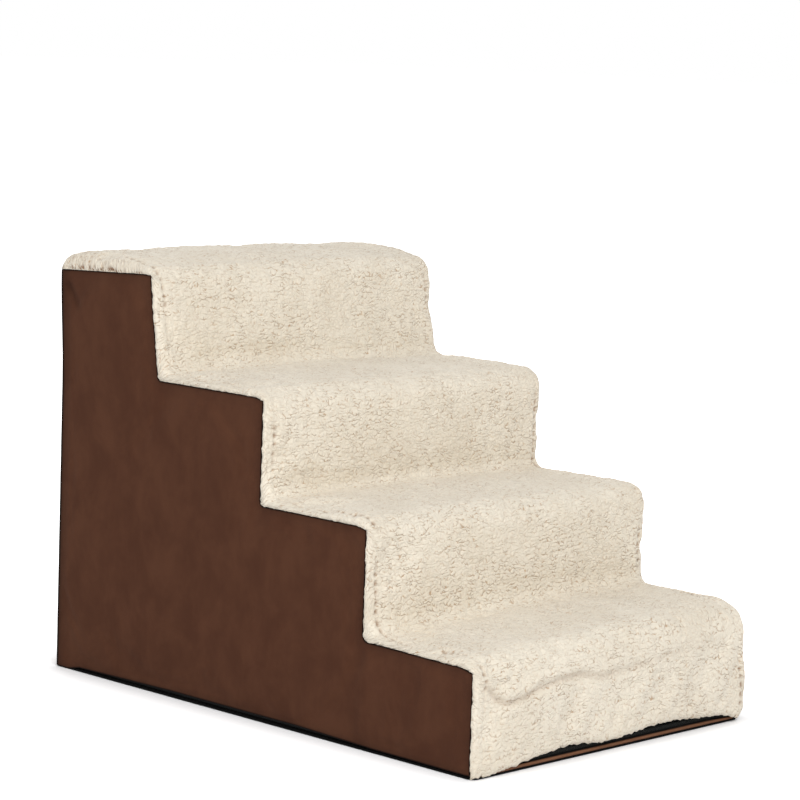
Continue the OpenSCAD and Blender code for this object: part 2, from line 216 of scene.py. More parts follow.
class Value:
    """A shader socket that takes part in Python expressions; each one adds its Math node."""

    def __init__(self, finish, socket):
        self.finish, self.socket = finish, socket

    def _math(self, operation, *values):
        numbered = dict(enumerate(values))
        return self.finish.node("ShaderNodeMath", {"operation": operation}, numbered)

    def __add__(self, other):
        return self._math("ADD", self, other)

    __radd__ = __add__

    def __sub__(self, other):
        return self._math("SUBTRACT", self, other)

    def __rsub__(self, other):
        return self._math("SUBTRACT", other, self)

    def __mul__(self, other):
        return self._math("MULTIPLY", self, other)

    __rmul__ = __mul__

    def sine(self):
        """Sine of the value in radians."""
        return self._math("SINE", self)

    def ramp(self, low, high):
        """0 at low, 1 at high, and smooth between them."""
        return self.finish.node("ShaderNodeMapRange", {"interpolation_type": "SMOOTHSTEP"},
                                {"Value": self, "From Min": low, "From Max": high})


class Shading:
    """The nodes of one material or world."""

    def __init__(self, owner):
        owner.use_nodes = True
        self.tree = owner.node_tree

    def node(self, kind, settings=None, sockets=None, out=0):
        """A node of this type with its settings, then its sockets' values or links, by name or number."""
        node = self.tree.nodes.new(kind)
        for key, value in (settings or {}).items():
            setattr(node, key, value)
        for key, value in (sockets or {}).items():
            self.connect(self.find(node.inputs, key), value)
        return Value(self, self.find(node.outputs, out)) if node.outputs else None

    def find(self, sockets, key):
        """The socket with this identifier, name or number."""
        named = [socket for socket in sockets if socket.identifier == key]
        return named[0] if named else sockets[key]

    def connect(self, socket, value):
        """Links a Value to the socket, or sets the socket's own value."""
        if isinstance(value, Value):
            self.tree.links.new(value.socket, socket)
        elif socket.type == "RGBA":
            socket.default_value = (*value[:3], 1.0)
        else:
            socket.default_value = value

    def place(self):
        """Coordinates in the object's own metres."""
        return self.node("ShaderNodeTexCoord", out="Object")

    def marked(self, name):
        """A value that the mesh carries at its points."""
        return self.node("ShaderNodeAttribute", {"attribute_name": name}, out="Fac")

    def noise(self, place, size, detail=1.0, rough=0.5, out="Fac"):
        """Smooth noise whose blots are about this size."""
        return self.node("ShaderNodeTexNoise", None,
                         {"Vector": place, "Scale": 1 / size, "Detail": detail, "Roughness": rough}, out)

    def vector(self, operation, *values, out="Vector"):
        """Vector Math on coordinates; its length comes out as a number with out set to Value."""
        return self.node("ShaderNodeVectorMath", {"operation": operation}, dict(enumerate(values)), out)

    def shifted(self, place, size, reach):
        """Coordinates pushed about by noise, which curls whatever is drawn with them."""
        push = self.noise(place, size, out="Color")
        half = self.vector("SUBTRACT", push, (0.5, 0.5, 0.5))
        push = self.node("ShaderNodeVectorMath", {"operation": "SCALE"}, {0: half, "Scale": reach})
        return self.vector("ADD", place, push)

    def blend(self, share, first, second):
        """A colour between two colours."""
        return self.node("ShaderNodeMix", {"data_type": "RGBA"},
                         {"Factor_Float": share, "A_Color": first, "B_Color": second}, "Result_Color")

    def seen(self):
        """1 where the camera, a gloss or a clear surface looks on."""
        rays = [self.node("ShaderNodeLightPath", out=name)
                for name in ("Is Camera Ray", "Is Glossy Ray", "Is Transmission Ray")]
        return (rays[0] + rays[1] + rays[2]).ramp(0.0, 1.0)


class Finish(Shading):
    """One material. Its shader's own sockets take constants, and wear() links what varies."""

    def __init__(self, name, **constants):
        self.material = bpy.data.materials.new(name)
        super().__init__(self.material)
        self.shader = self.tree.nodes["Principled BSDF"]
        for key, value in constants.items():
            self.shader.inputs[key.replace("_", " ")].default_value = value

    def wear(self, colour=None, height=None, distance=0.001, strength=1.0, rough=None):
        """Links the varying colour, the height of the surface and the roughness to the shader."""
        if colour is not None:
            self.connect(self.shader.inputs["Base Color"], colour)
        if rough is not None:
            self.connect(self.shader.inputs["Roughness"], rough)
        if height is not None:
            bump = self.node("ShaderNodeBump", None,
                             {"Height": height, "Distance": distance, "Strength": strength}, "Normal")
            self.connect(self.shader.inputs["Normal"], bump)
        return self.material


# Unevenness and meshes


def uneven(s, y, size, seed):
    """Smooth unevenness from about -1 to 1 over a surface with coordinates s and y, in bumps of this size."""
    cells, middle, even_out = 512, 128, 1.6
    turns = np.random.default_rng(seed).uniform(0, 2 * np.pi, (cells, cells))
    s, y = np.broadcast_arrays(np.asarray(s, float) / size + middle, np.asarray(y, float) / size + middle)
    i, j = np.floor(s).astype(int), np.floor(y).astype(int)
    a, b = s - i, y - j
    total = 0.0
    for di in (0, 1):
        for dj in (0, 1):
            turn = turns[(i + di) % cells, (j + dj) % cells]
            slope = np.cos(turn) * (a - di) + np.sin(turn) * (b - dj)
            wa, wb = (a if di else 1 - a), (b if dj else 1 - b)
            total = total + slope * wa * wa * (3 - 2 * wa) * wb * wb * (3 - 2 * wb)
    return even_out * total


def bumps(s, y, *kinds):
    """Kinds of bumps laid over each other, each given as its height, size and seed."""
    return sum(height * uneven(s, y, size, seed) for height, size, seed in kinds)


def smooth(value, low, high):
    """0 at low, 1 at high, and smooth between them."""
    share = np.clip((value - low) / (high - low), 0, 1)
    return share * share * (3 - 2 * share)


def bell(value, width):
    """1 at zero, falling off on both sides over about this width."""
    return np.exp(-(value / width) ** 2)


def wave(value, pitch):
    """1 at zero and at every full pitch, 0 halfway between."""
    return 0.5 + 0.5 * np.cos(2 * math.pi * value / pitch)


def quarter(count):
    """Angles of a quarter turn."""
    return np.linspace(0, math.pi / 2, count)


def width_share(y):
    """The share of the width that lies to the left of y."""
    return (y + HALF_W) / (2 * HALF_W)


def points_at(at, run, points):
    """Points of a path at these distances along its run."""
    return np.column_stack([np.interp(at, run, column) for column in points.T])


def add_piece(name, points, faces, material, marks=None, shade_smooth=True):
    """A mesh object in the scene from arrays of points and faces, with marks kept at its points."""
    mesh = bpy.data.meshes.new(name)
    mesh.from_pydata(np.asarray(points).tolist(), [], [list(map(int, face)) for face in faces])
    for mark, values in (marks or {}).items():
        mesh.attributes.new(mark, "FLOAT", "POINT").data.foreach_set(
            "value", np.asarray(values, np.float32).ravel())
    mesh.polygons.foreach_set("use_smooth", [shade_smooth] * len(mesh.polygons))
    mesh.materials.append(material)
    mesh.update()
    piece = bpy.data.objects.new(name, mesh)
    bpy.context.scene.collection.objects.link(piece)
    return piece


def grid_faces(stations, rows, closed=False):
    """Faces of a grid of points [station, row]; a closed grid joins its last row to its first."""
    i, j = np.meshgrid(np.arange(stations - 1), np.arange(rows if closed else rows - 1), indexing="ij")
    i, j = i.ravel(), j.ravel()
    n = (j + 1) % rows
    return np.stack([i * rows + j, i * rows + n, (i + 1) * rows + n, (i + 1) * rows + j], 1)


def tube_faces(rings, rows):
    """Faces of a tube of closed rings, and of its two ends."""
    ends = [list(range(rows))[::-1], list(range((rings - 1) * rows, rings * rows))]
    return grid_faces(rings, rows, closed=True).tolist() + ends


def repeated(faces, size, count):
    """The faces of one small solid of size points, for count such solids one after the other."""
    return [[size * i + corner for corner in face] for i in range(count) for face in faces]


def grid_normals(points):
    """Unit normals of a grid of points [station, row, xyz]."""
    along, across = np.gradient(points, axis=0), np.gradient(points, axis=1)
    normals = np.cross(along, across)
    return normals / np.maximum(np.linalg.norm(normals, axis=2, keepdims=True), TINY)


def eased(points, sizes):
    """Points of the cover and its foam as the soft steps sit, which aren't quite even."""
    points = np.array(points, float)
    x, y, z = (points[..., axis].copy() for axis in range(3))
    right = np.clip(width_share(y), 0, 1)

    # The landing sags and the top step leans back; the cover lies a little behind the core
    nose, behind = foot_x(STEPS) - sizes.top_lean, 1.05
    back = np.clip((nose - x) / (nose - CORE_BACK), 0, behind)
    points[..., 2] = z - sizes.back_sag * back * smooth(z, TOP_Z - SAG_DEPTH, TOP_Z)
    points[..., 0] = x - sizes.back_lean * smooth(z, TOP_Z - LEAN_DEPTH, TOP_Z)

    # The risers stand out or back, each by its own length
    feet = [CORE_BACK] + [foot_x(k) for k in range(STEPS, 0, -1)]
    left_out, right_out = np.transpose(STEPS_OUT)
    points[..., 0] += (1 - right) * np.interp(x, feet, left_out) + right * np.interp(x, feet, right_out)
    fore = smooth(x, foot_x(2), CORE_FRONT - FULL_BEHIND)
    points[..., 0] -= FRONT_LEAN * fore * smooth(z, *FRONT_LEAN_Z) * smooth(right, *FRONT_LEAN_Y)

    # The lowest tread tilts
    tilted = TILT_AT_BACK * smooth(x, *(foot_x(2) + beside for beside in TILT_BACK_X))
    tilted = smooth(z, *TILT_FROM) * (1 - smooth(z, *TILT_TO)) * (tilted + (1 - TILT_AT_BACK) * fore)
    points[..., 2] += tilted * (TREAD_TILT[0] + (TREAD_TILT[1] - TREAD_TILT[0]) * right)

    # The front corners are tucked in
    tuck = smooth(x, *(CORE_FRONT + beside for beside in TUCK_X)) * (1 - smooth(z, 0.0, TUCK_Z))
    tuck *= smooth(np.abs(y), HALF_W - TUCK_Y, HALF_W)
    points[..., 1] = y - np.where(y > 0, CORNER_TUCK[1], -CORNER_TUCK[0]) * tuck
    return points


def settled(points, faces, pinned, pressure, slack, cap):
    """How far cloth over these points moves when it is filled from below and held at its seams."""
    steps = 20
    cloth = add_piece("settling_cloth", points, faces, None)
    group = cloth.vertex_groups.new(name="seams")
    group.add([int(i) for i in np.flatnonzero(pinned)], 1.0, "REPLACE")
    sim = cloth.modifiers.new("Cloth", "CLOTH")
    rules = sim.settings
    rules.quality = 6
    rules.mass = 0.2
    rules.tension_stiffness = rules.compression_stiffness = 20
    rules.bending_stiffness = 0.6
    rules.vertex_group_mass = "seams"
    rules.shrink_min = -slack
    rules.use_pressure = True
    rules.uniform_pressure_force = pressure
    rules.effector_weights.gravity = 0.0
    sim.point_cache.frame_start, sim.point_cache.frame_end = 1, steps
    for step in range(1, steps + 1):
        bpy.context.scene.frame_set(step)
    shaped = cloth.evaluated_get(bpy.context.evaluated_depsgraph_get()).to_mesh()
    found = np.zeros(3 * len(shaped.vertices))
    shaped.vertices.foreach_get("co", found)
    moved = found.reshape(-1, 3) - points
    bpy.context.scene.frame_set(1)
    bpy.data.objects.remove(cloth)
    reach = np.linalg.norm(moved, axis=1, keepdims=True)
    return moved * np.minimum(1, cap / np.maximum(reach, TINY))


# Outlines


def stretch_to(stations, end, pitch):
    """Adds a straight stretch of stations up to end; every row gets the same number."""
    start = stations[-1]
    count = max(2, round(float(np.linalg.norm(end - start, axis=-1).mean()) / pitch))
    for i in range(1, count + 1):
        stations.append(start + (end - start) * i / count)


def rounding(reach, dip, turn):
    """Places on a rounded nose after this much of its turn, from the sharp corner that it takes away."""
    return np.stack([reach * (np.sin(turn) - 1), dip * (np.cos(turn) - 1)], -1)


def seam_nose(k, side, sizes, count):
    """A panel's nose from its start to its end, from the step's sharp corner.

    On the left it dips gently and ends in a tight corner; on the right it is softly rounded."""
    longer, corner_points = 1.5, 5
    if side > 0:
        reach, dip = (LOW_NOSE_R, LOW_NOSE_R) if k == 1 else (sizes.nose_reach, longer * sizes.nose_dip)
        return rounding(reach, dip, quarter(count))
    reach = sizes.nose_reach * (longer if k == 1 else 1)
    dip = sizes.nose_dip * LEFT_DIP.get(k, MIDDLE_DIP)
    gentle = np.linspace(0, 1, count - corner_points)
    gentle = np.stack([-reach + (reach - TIGHT_R) * gentle, -dip * gentle ** 2], -1)
    return np.concatenate([gentle, rounding(TIGHT_R, TIGHT_R, quarter(corner_points + 1)[1:]) - [0, dip]])


def seam_fillet(k, sizes):
    """Rounding of the seam in the angle under step k; the lowest one is wider."""
    wider = 1.3
    return wider * sizes.seam_fillet if k == 2 else sizes.seam_fillet


def steps_profile(start, y, share, lift, sizes, pitch):
    """Stations [row, (x, z)] from the landing down to the lowest nose, for rows at y.

    share says how far a row has left its seam for the full pile, which lies lift above the seam."""
    fewest_nose, fewest_fillet = 12, 5
    stations = list(start)
    left = (y < 0)[:, None]
    for k in range(STEPS, 0, -1):
        lean = sizes.top_lean if k == STEPS else 0
        corner = np.stack([foot_x(k) - lean + lift, tread_z(k) + lift], -1)
        softer = (k == 1) * (sizes.soft_nose - sizes.pile_nose) * np.interp(width_share(y), *SOFT_NOSE)
        soft, dip = sizes.pile_nose + softer, sizes.pile_nose + SOFT_DIP * softer
        count = max(fewest_nose, round(QUARTER_ARC * float(np.mean(soft)) / pitch))
        noses = [seam_nose(k, side, sizes, count) for side in (-1, 1)]
        curve = []
        for i, turn in enumerate(quarter(count)):
            seam = np.where(left, noses[0][i], noses[1][i])
            curve.append(corner + seam + (rounding(soft, dip, turn) - seam) * share[:, None] ** LEAVING)
        stretch_to(stations, curve[0], pitch)
        stations += curve[1:]
        if k > 1:
            wide = sizes.pile_fillet + (sizes.seam_fillet if k == 2 else 0)
            r = seam_fillet(k, sizes) + (wide - seam_fillet(k, sizes)) * share
            foot, tread = foot_x(k) + lift, tread_z(k - 1) + lift
            stretch_to(stations, np.stack([foot, tread + r], -1), pitch)
            count = max(fewest_fillet, round(QUARTER_ARC * float(np.mean(r)) / pitch))
            for turn in quarter(count)[1:]:
                ahead, up = r * (1 - math.cos(turn)), r * (1 - math.sin(turn))
                stations.append(np.stack([foot + ahead, tread + up], -1))
    return stations


def panel_outline(side, sizes, pitch):
    """Closed outline (x, z) of a side panel, anticlockwise from the back's top."""
    corner_share, over_slider, climb, behind_zip, over_floor = 0.6, 0.0005, 0.04, 0.003, 0.0006
    start = [np.array([[CORE_BACK, TOP_Z]])]
    stations = steps_profile(start, np.array([side * HALF_W]), np.zeros(1), np.zeros(1), sizes, pitch)
    if side < 0:
        hem = [(CORE_BACK + share * (CORE_FRONT - CORE_BACK), BASE_T + (sizes.left_hem - BASE_T) * lift)
               for share, lift in reversed(LEFT_HEM)]
    else:
        hem = [(x, SLIDER[1].z + over_slider) for x in (CORE_FRONT - climb, ZIP_BACK_X)]
    hem = [(CORE_FRONT, BASE_T + corner_share * SUEDE_T)] + hem
    for corner in hem + [(ZIP_BACK_X - behind_zip, over_floor), (CORE_BACK, over_floor), (CORE_BACK, TOP_Z)]:
        stretch_to(stations, np.array([corner]), pitch)
    return np.array([s[0] for s in stations[:-1]])[::-1]


def rounded_outline(x0, x1, y0, y1, radii, pitch):
    """Closed anticlockwise outline of a rectangle; radii are those of its corners from (x0, y0) on."""
    arc_points, same = 7, 1e-6
    corners = [(x0, y0, 1, 1, radii[0], 180), (x1, y0, -1, 1, radii[1], 270),
               (x1, y1, -1, -1, radii[2], 0), (x0, y1, 1, -1, radii[3], 90)]
    stations = []
    for x, y, sx, sy, r, start in corners + corners[:1]:
        centre = np.array([x + sx * r, y + sy * r])
        for turn in np.radians(np.linspace(start, start + 90, arc_points if r else 1)):
            point = centre + r * np.array([math.cos(turn), math.sin(turn)])
            if stations and np.linalg.norm(point - stations[-1][0]) > 2 * pitch:
                stretch_to(stations, point[None], pitch)
            else:
                stations.append(point[None])
    points = np.array([s[0] for s in stations])
    turn_back = np.flatnonzero(np.linalg.norm(points[1:] - points[0], axis=1) < same)
    return points[:turn_back[0] + 1] if len(turn_back) else points


def inset(loop, depth):
    """The closed anticlockwise loop moved inwards by a small depth."""
    sharpest = 0.6
    before, after = loop - np.roll(loop, 1, 0), np.roll(loop, -1, 0) - loop
    turned = [np.stack([-v[:, 1], v[:, 0]], 1) / np.maximum(np.linalg.norm(v, axis=1, keepdims=True), TINY)
              for v in (before, after)]
    middle = turned[0] + turned[1]
    middle /= np.maximum(np.linalg.norm(middle, axis=1, keepdims=True), TINY)
    spread = np.clip((middle * turned[0]).sum(1, keepdims=True), sharpest, 1)
    return loop + depth * middle / spread


def distance_to(loop, points):
    """Distance of each point to the closed loop."""
    a, b = loop, np.roll(loop, -1, 0)
    found = np.full(len(points), np.inf)
    for start, step in zip(a, b - a):
        share = np.clip(((points - start) @ step) / max(step @ step, TINY), 0, 1)
        found = np.minimum(found, np.linalg.norm(points - start - share[:, None] * step, axis=1))
    return found


def inside(loop, points):
    """True for the points inside the closed loop."""
    found = np.zeros(len(points), bool)
    for (x0, y0), (x1, y1) in zip(loop, np.roll(loop, -1, 0)):
        crosses = (y0 > points[:, 1]) != (y1 > points[:, 1])
        if y0 != y1:
            found ^= crosses & (points[:, 0] < (x1 - x0) * (points[:, 1] - y0) / (y1 - y0) + x0)
    return found


def sewn_sheet(outline, thickness, pitch):
    """A thin closed sheet: plan points, shares of its height, triangles and distances to its edge."""
    loops = [outline] + [inset(outline, depth * thickness) for depth in EDGE_RINGS]
    low, high = outline.min(0), outline.max(0)
    xs = np.arange(low[0] + pitch / 2, high[0], pitch)
    ys = np.arange(low[1] + pitch / 2, high[1], pitch * TRIANGLE_ROW)
    gx, gy = np.meshgrid(xs, ys)
    gx[1::2] += pitch / 2
    grid = np.stack([gx.ravel(), gy.ravel()], 1)
    grid = grid[inside(outline, grid)]
    grid = grid[distance_to(outline, grid) > EDGE_RINGS[-1] * thickness + RING_GAP * pitch]
    n = len(outline)
    edges = [(i, (i + 1) % n) for i in range(n)]
    plan = np.concatenate(loops + [grid])
    found = delaunay_2d_cdt([Vector(p) for p in plan], edges, [list(range(n))], 1, RIM)
    plan = np.array([list(p) for p in found[0]])
    triangles = np.array([list(t) for t in found[2]])
    from_edge = distance_to(outline, plan)
    round_edge = np.sqrt(np.clip(1 - (1 - np.clip(from_edge / (0.5 * thickness), 0, 1)) ** 2, 0, 1))
    return plan, 0.5 + 0.5 * round_edge, triangles, from_edge


def sheet_shell(plan, share, triangles, from_edge, thickness, relief):
    """Points and faces of the sheet with both sides; relief lifts the outer one. Its third axis is height."""
    outer = np.column_stack([plan, thickness * share + relief])
    inner = np.column_stack([plan, thickness * (1 - share)])
    rim = from_edge < RIM
    match = np.where(rim, np.arange(len(plan)), len(plan) + np.cumsum(~rim) - 1)
    points = np.concatenate([outer, inner[~rim]])
    return points, np.concatenate([triangles, match[triangles][:, ::-1]]), np.concatenate(
        [from_edge, from_edge[~rim]])


def swollen(plan, triangles, from_edge, puff, rise, cap, broad, fine, pucker):
    """How far a suede panel stands off its foam: most in its middle, with puckers beside its seams.

    broad, fine and pucker are kinds of bumps."""
    held, dent, beside = 0.002, 0.0004, 0.011
    # Distances from the edge between which the cloth's swell and the puckers set in
    swells, puckers = (0.001, 0.01), (0.0008, 0.003)
    flat = np.column_stack([plan, np.zeros(len(plan))])
    cloth = settled(flat, triangles, from_edge < held, pressure=0.5, slack=0.006, cap=cap)[:, 2]
    middle = 1 - bell(from_edge, rise)
    relief = puff * middle + np.maximum(cloth, -dent) * smooth(from_edge, *swells)
    relief += middle * bumps(*plan.T, broad) + bumps(*plan.T, fine)
    return relief + bell(from_edge, beside) * smooth(from_edge, *puckers) * bumps(*plan.T, pucker)


# Finishes


def sherpa_finish(colours):
    """Sherpa: tufts packed into an even pile that lies down the stairs, with painted shade in the gaps under
    some, in the dips between its curls and in its seams' hollows.
    """
    f = Finish("sherpa_pile", Roughness=1.0, Sheen_Weight=0.25, Sheen_Roughness=0.6, Specular_IOR_Level=0.1)
    # gap_share, curl_share and parting_share: how much painted shade goes in the gaps under the tufts, in the
    # dips between the curls and in the gaps over the landing's seam
    tuft, gap_share, curl_share, parting_share, down_rise = 0.0049, 0.82, 0.14, 0.95, 50
    # How much the tufts are squeezed down the stairs, and the slant of the gaps over the landing's seam
    squeeze, slant, spread = (1.4, 1.0, 1.0), 0.6, 0.4
    place, along, across = f.place(), f.marked("along"), f.marked("across")
    cloth = f.node("ShaderNodeCombineXYZ", None, {"X": along, "Y": across}, "Vector")
    lying = f.vector("MULTIPLY", cloth, squeeze)
    curled = f.shifted(f.shifted(lying, size=0.013, reach=0.01), size=0.004, reach=0.0045)
    cells = {"Vector": curled, "Scale": 1 / tuft}
    flat = {"voronoi_dimensions": "2D"}
    middle = f.node("ShaderNodeTexVoronoi", flat, cells, "Position")
    edge = f.node("ShaderNodeTexVoronoi", flat | {"feature": "DISTANCE_TO_EDGE"}, cells, "Distance")
    down = f.node("ShaderNodeSeparateXYZ", None, {"Vector": f.vector("SUBTRACT", curled, middle)}, "X")
    # Painted shade under the tufts: along the lower side of each tuft's edge, in some places and more in
    # patches
    under = (1 - edge.ramp(0.0, 0.22)) * down.ramp(-0.0003, 0.0013)
    some = f.noise(lying, size=0.0085, detail=2.0, rough=0.6).ramp(0.42, 0.58)
    patch = f.noise(place, size=0.04, detail=2.0).ramp(0.35, 0.6)
    crevice_shade = under * some * (0.4 + 0.6 * patch)
    curls = f.noise(f.shifted(place, size=0.004, reach=0.003), size=0.0026, detail=2.0, rough=0.6)
    soft = f.noise(place, size=0.05, detail=2.0).ramp(0.3, 0.7)
    tone = f.blend(soft, colours.pile, colours.pile_shade)
    # Painted shade in those gaps and in the dips between the curls
    tone = f.blend(crevice_shade * gap_share + curls.ramp(0.52, 0.3) * curl_share, tone, colours.crevice_shade)
    leaning = {"X": along + slant * across, "Y": spread * across}
    slanting = f.node("ShaderNodeCombineXYZ", None, leaning, "Vector")
    # Painted shade in the gaps between the tufts over the landing's seam
    parting = f.marked("fringe") * f.noise(slanting, size=0.0023).ramp(0.47, 0.6)
    tone = f.blend(parting * parting_share, tone, colours.hollow_shade)
    # Painted shade in the stitches' dents and in the crease's fold
    tone = f.blend(f.marked("dent_and_fold_shade"), tone, colours.hollow_shade)
    height = 0.4 * curls + 0.4 * edge.ramp(0.0, 0.4) + down * down_rise - 0.6 * crevice_shade - parting
    return f.wear(tone, height, distance=0.0011, strength=0.8)


def suede_finish(name, light, dark, edge):
    """Microsuede: a short even nap with soft blots where it is brushed, and painted shade at its seams and in
    a crease.
    """
    f = Finish(name, Roughness=0.92, Sheen_Weight=0.02, Sheen_Roughness=0.5, Specular_IOR_Level=0.04)
    grain_share, stretch = 0.22, (1.0, 1.0, 0.7)
    place = f.place()
    upright = f.vector("MULTIPLY", place, stretch)
    blot = f.noise(f.shifted(upright, size=0.06, reach=0.03), size=0.03, detail=3.0, rough=0.62)
    grain = f.noise(place, size=0.0011, detail=2.0, rough=0.7)
    tone = f.blend(blot.ramp(0.3, 0.72), dark, light)
    tone = f.blend(grain.ramp(0.35, 0.75) * grain_share, tone, dark)
    # Painted shade at the seams, at the back's corner and in a crease
    tone = f.blend(f.marked("edge_and_crease_shade"), tone, edge)
    height = 0.5 * grain + 0.5 * f.noise(place, size=0.004, detail=2.0)
    return f.wear(tone, height, distance=0.00035, strength=0.5, rough=0.86 + 0.1 * blot)


def woven_finish(name, tone, shade, rib, rough):
    """A woven black fabric with fine ribs across its run; shade is its colour's share in the hollows."""
    f = Finish(name, Roughness=rough, Sheen_Weight=0.004, Specular_IOR_Level=0.06)
    turns, lint_share = 2 * math.pi / rib, 0.3
    weave = (f.marked("along") * turns).sine() * (f.marked("across") * turns).sine()
    lint = f.noise(f.place(), size=0.0035, detail=3.0, rough=0.6)
    woven = f.blend((weave * 0.5 + 0.5) * 0.5 + lint * lint_share, tuple(c * shade for c in tone), tone)
    return f.wear(woven, weave * 0.5 + lint * 0.4, distance=0.0003, strength=0.7,
                  rough=rough - 0.08 + 0.1 * lint)


def plastic_finish(name, tone, rough, size):
    """Moulded plastic or rubber with a faint grain."""
    f = Finish(name, Roughness=rough, Specular_IOR_Level=0.14)
    brighter, least = 1.35, 0.002
    grain = f.noise(f.place(), size, detail=2.0)
    paler = tuple(min(1.0, c * brighter + least) for c in tone)
    return f.wear(f.blend(grain.ramp(0.35, 0.7), tone, paler), grain, distance=0.00008, strength=0.4,
                  rough=rough - 0.06 + 0.12 * grain)


def metal_finish(colours):
    """Painted zip metal, rubbed brighter in places."""
    f = Finish("zip_metal", Metallic=1.0, Specular_IOR_Level=0.5)
    brighter = 2.2
    place = f.place()
    rubbed = f.noise(place, size=0.0022, detail=3.0, rough=0.65).ramp(0.42, 0.7)
    bright = tuple(min(1.0, c * brighter) for c in colours.metal)
    return f.wear(f.blend(rubbed, colours.metal, bright), f.noise(place, size=0.0006, detail=2.0),
                  distance=0.00004, strength=0.4, rough=0.46 - 0.14 * rubbed)


def foam_finish(colours):
    """Open-cell foam: fine pores on a pale, slightly yellowed block."""
    f = Finish("foam_cells", Roughness=0.95, Specular_IOR_Level=0.1)
    cells_per_metre, aged_share, pore_share, pore_shade = 620.0, 0.6, 0.35, 0.5
    yellowing = (0.97, 0.9, 0.72)
    place = f.place()
    cells = {"Vector": place, "Scale": cells_per_metre}
    pores = f.node("ShaderNodeTexVoronoi", {"feature": "F1"}, cells, "Distance")
    aged = f.noise(place, size=0.09, detail=3.0)
    yellowed = tuple(c * s for c, s in zip(colours.foam, yellowing))
    tone = f.blend(aged.ramp(0.35, 0.75) * aged_share, colours.foam, yellowed)
    tone = f.blend(pores.ramp(0.35, 0.1) * pore_share, tone, tuple(c * pore_shade for c in colours.foam))
    return f.wear(tone, pores, distance=0.0006, strength=0.6)


# Pieces


class StairsOperator:
    """What the operators share."""

    bl_options = {"REGISTER", "UNDO"}

    def execute(self, context):
        self.build(context.scene.cover_sizes, context.scene.cover_colours)
        return {"FINISHED"}


class STAIRS_OT_foam_slabs(StairsOperator, bpy.types.Operator):
    """Make the glued foam slabs, with cut-away room for the zip round the lowest one"""

    bl_idname = "stairs.foam_slabs"
    bl_label = "Foam Slabs"
    corner_r, pitch = 0.004, 0.024
    # Rounding of the lowest nose and of the others
    low_nose, high_nose = 0.022, 0.014
    # Depth of the zip's room, how far it goes over the tape, and the height of its ledge
    room, room_over, ledge = 0.005, 0.003, 0.0008
    # Rises of the rings at the foot and of the first one on the sides, the number there, and the turns in
    # degrees of those on the nose
    foot_rises, side_rise, side_rings = (0, 0.0015, 0.004), 0.012, 9
    nose_turns = (12, 25, 38, 51, 64, 77, 86)
    # How far a slab stays inside the core, how much more at its foot, and beside its nose from this share up
    all_in, foot_in, foot_height, nose_in, nose_from = 0.0004, 0.0012, 0.003, 0.006, 0.6
    glue_gap = 0.0002

    def rings(self, k, sizes):
        """Rings of points [ring, point, xyz] of slab k from its foot to its top."""
        low, high = tread_z(k - 1), tread_z(k)
        nose = self.low_nose if k == 1 else self.high_nose
        lean = sizes.top_lean if k == STEPS else 0.0
        room_z = TAPE[1].z + self.room_over
        heights = [low + rise for rise in self.foot_rises]
        heights += list(np.linspace(low + self.side_rise, high - nose, self.side_rings))
        heights += [high - nose * (1 - math.sin(turn)) for turn in np.radians(self.nose_turns)]
        if k == 1:
            heights = sorted(heights + [room_z - self.ledge / 2, room_z + self.ledge / 2])
        rings = []
        for z in heights:
            up = max(0.0, z - (high - nose)) / nose
            front = foot_x(k) - lean * (z - low) / (high - low) - nose * (1 - math.sqrt(max(0, 1 - up * up)))
            edge = self.all_in + self.foot_in * (1 - smooth(z, low, low + self.foot_height))
            side = HALF_CORE - edge - self.nose_in * max(0.0, up - self.nose_from)
            if k == 1 and z < room_z:
                front, side = front - self.room, side - self.room
            ring = rounded_outline(CORE_BACK + edge, front - edge, -side, side, [self.corner_r] * 4,
                                   self.pitch)
            rings.append(np.column_stack([ring, np.full(len(ring), z)]))
        count = min(len(ring) for ring in rings)
        return np.array([ring[np.linspace(0, len(ring) - 1, count).round().astype(int)] for ring in rings])

    def build(self, sizes, colours):
        foam = foam_finish(colours)
        for k in range(1, STEPS + 1):
            points = eased(self.rings(k, sizes), sizes)
            points[..., 2] = np.minimum(points[..., 2], tread_z(k) - self.glue_gap)
            slab = add_piece(f"slab_{k}_foam", points.reshape(-1, 3), tube_faces(*points.shape[:2]), foam,
                             shade_smooth=False)
            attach(slab, "stairs")
            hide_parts(f"foam_slab_{k}")


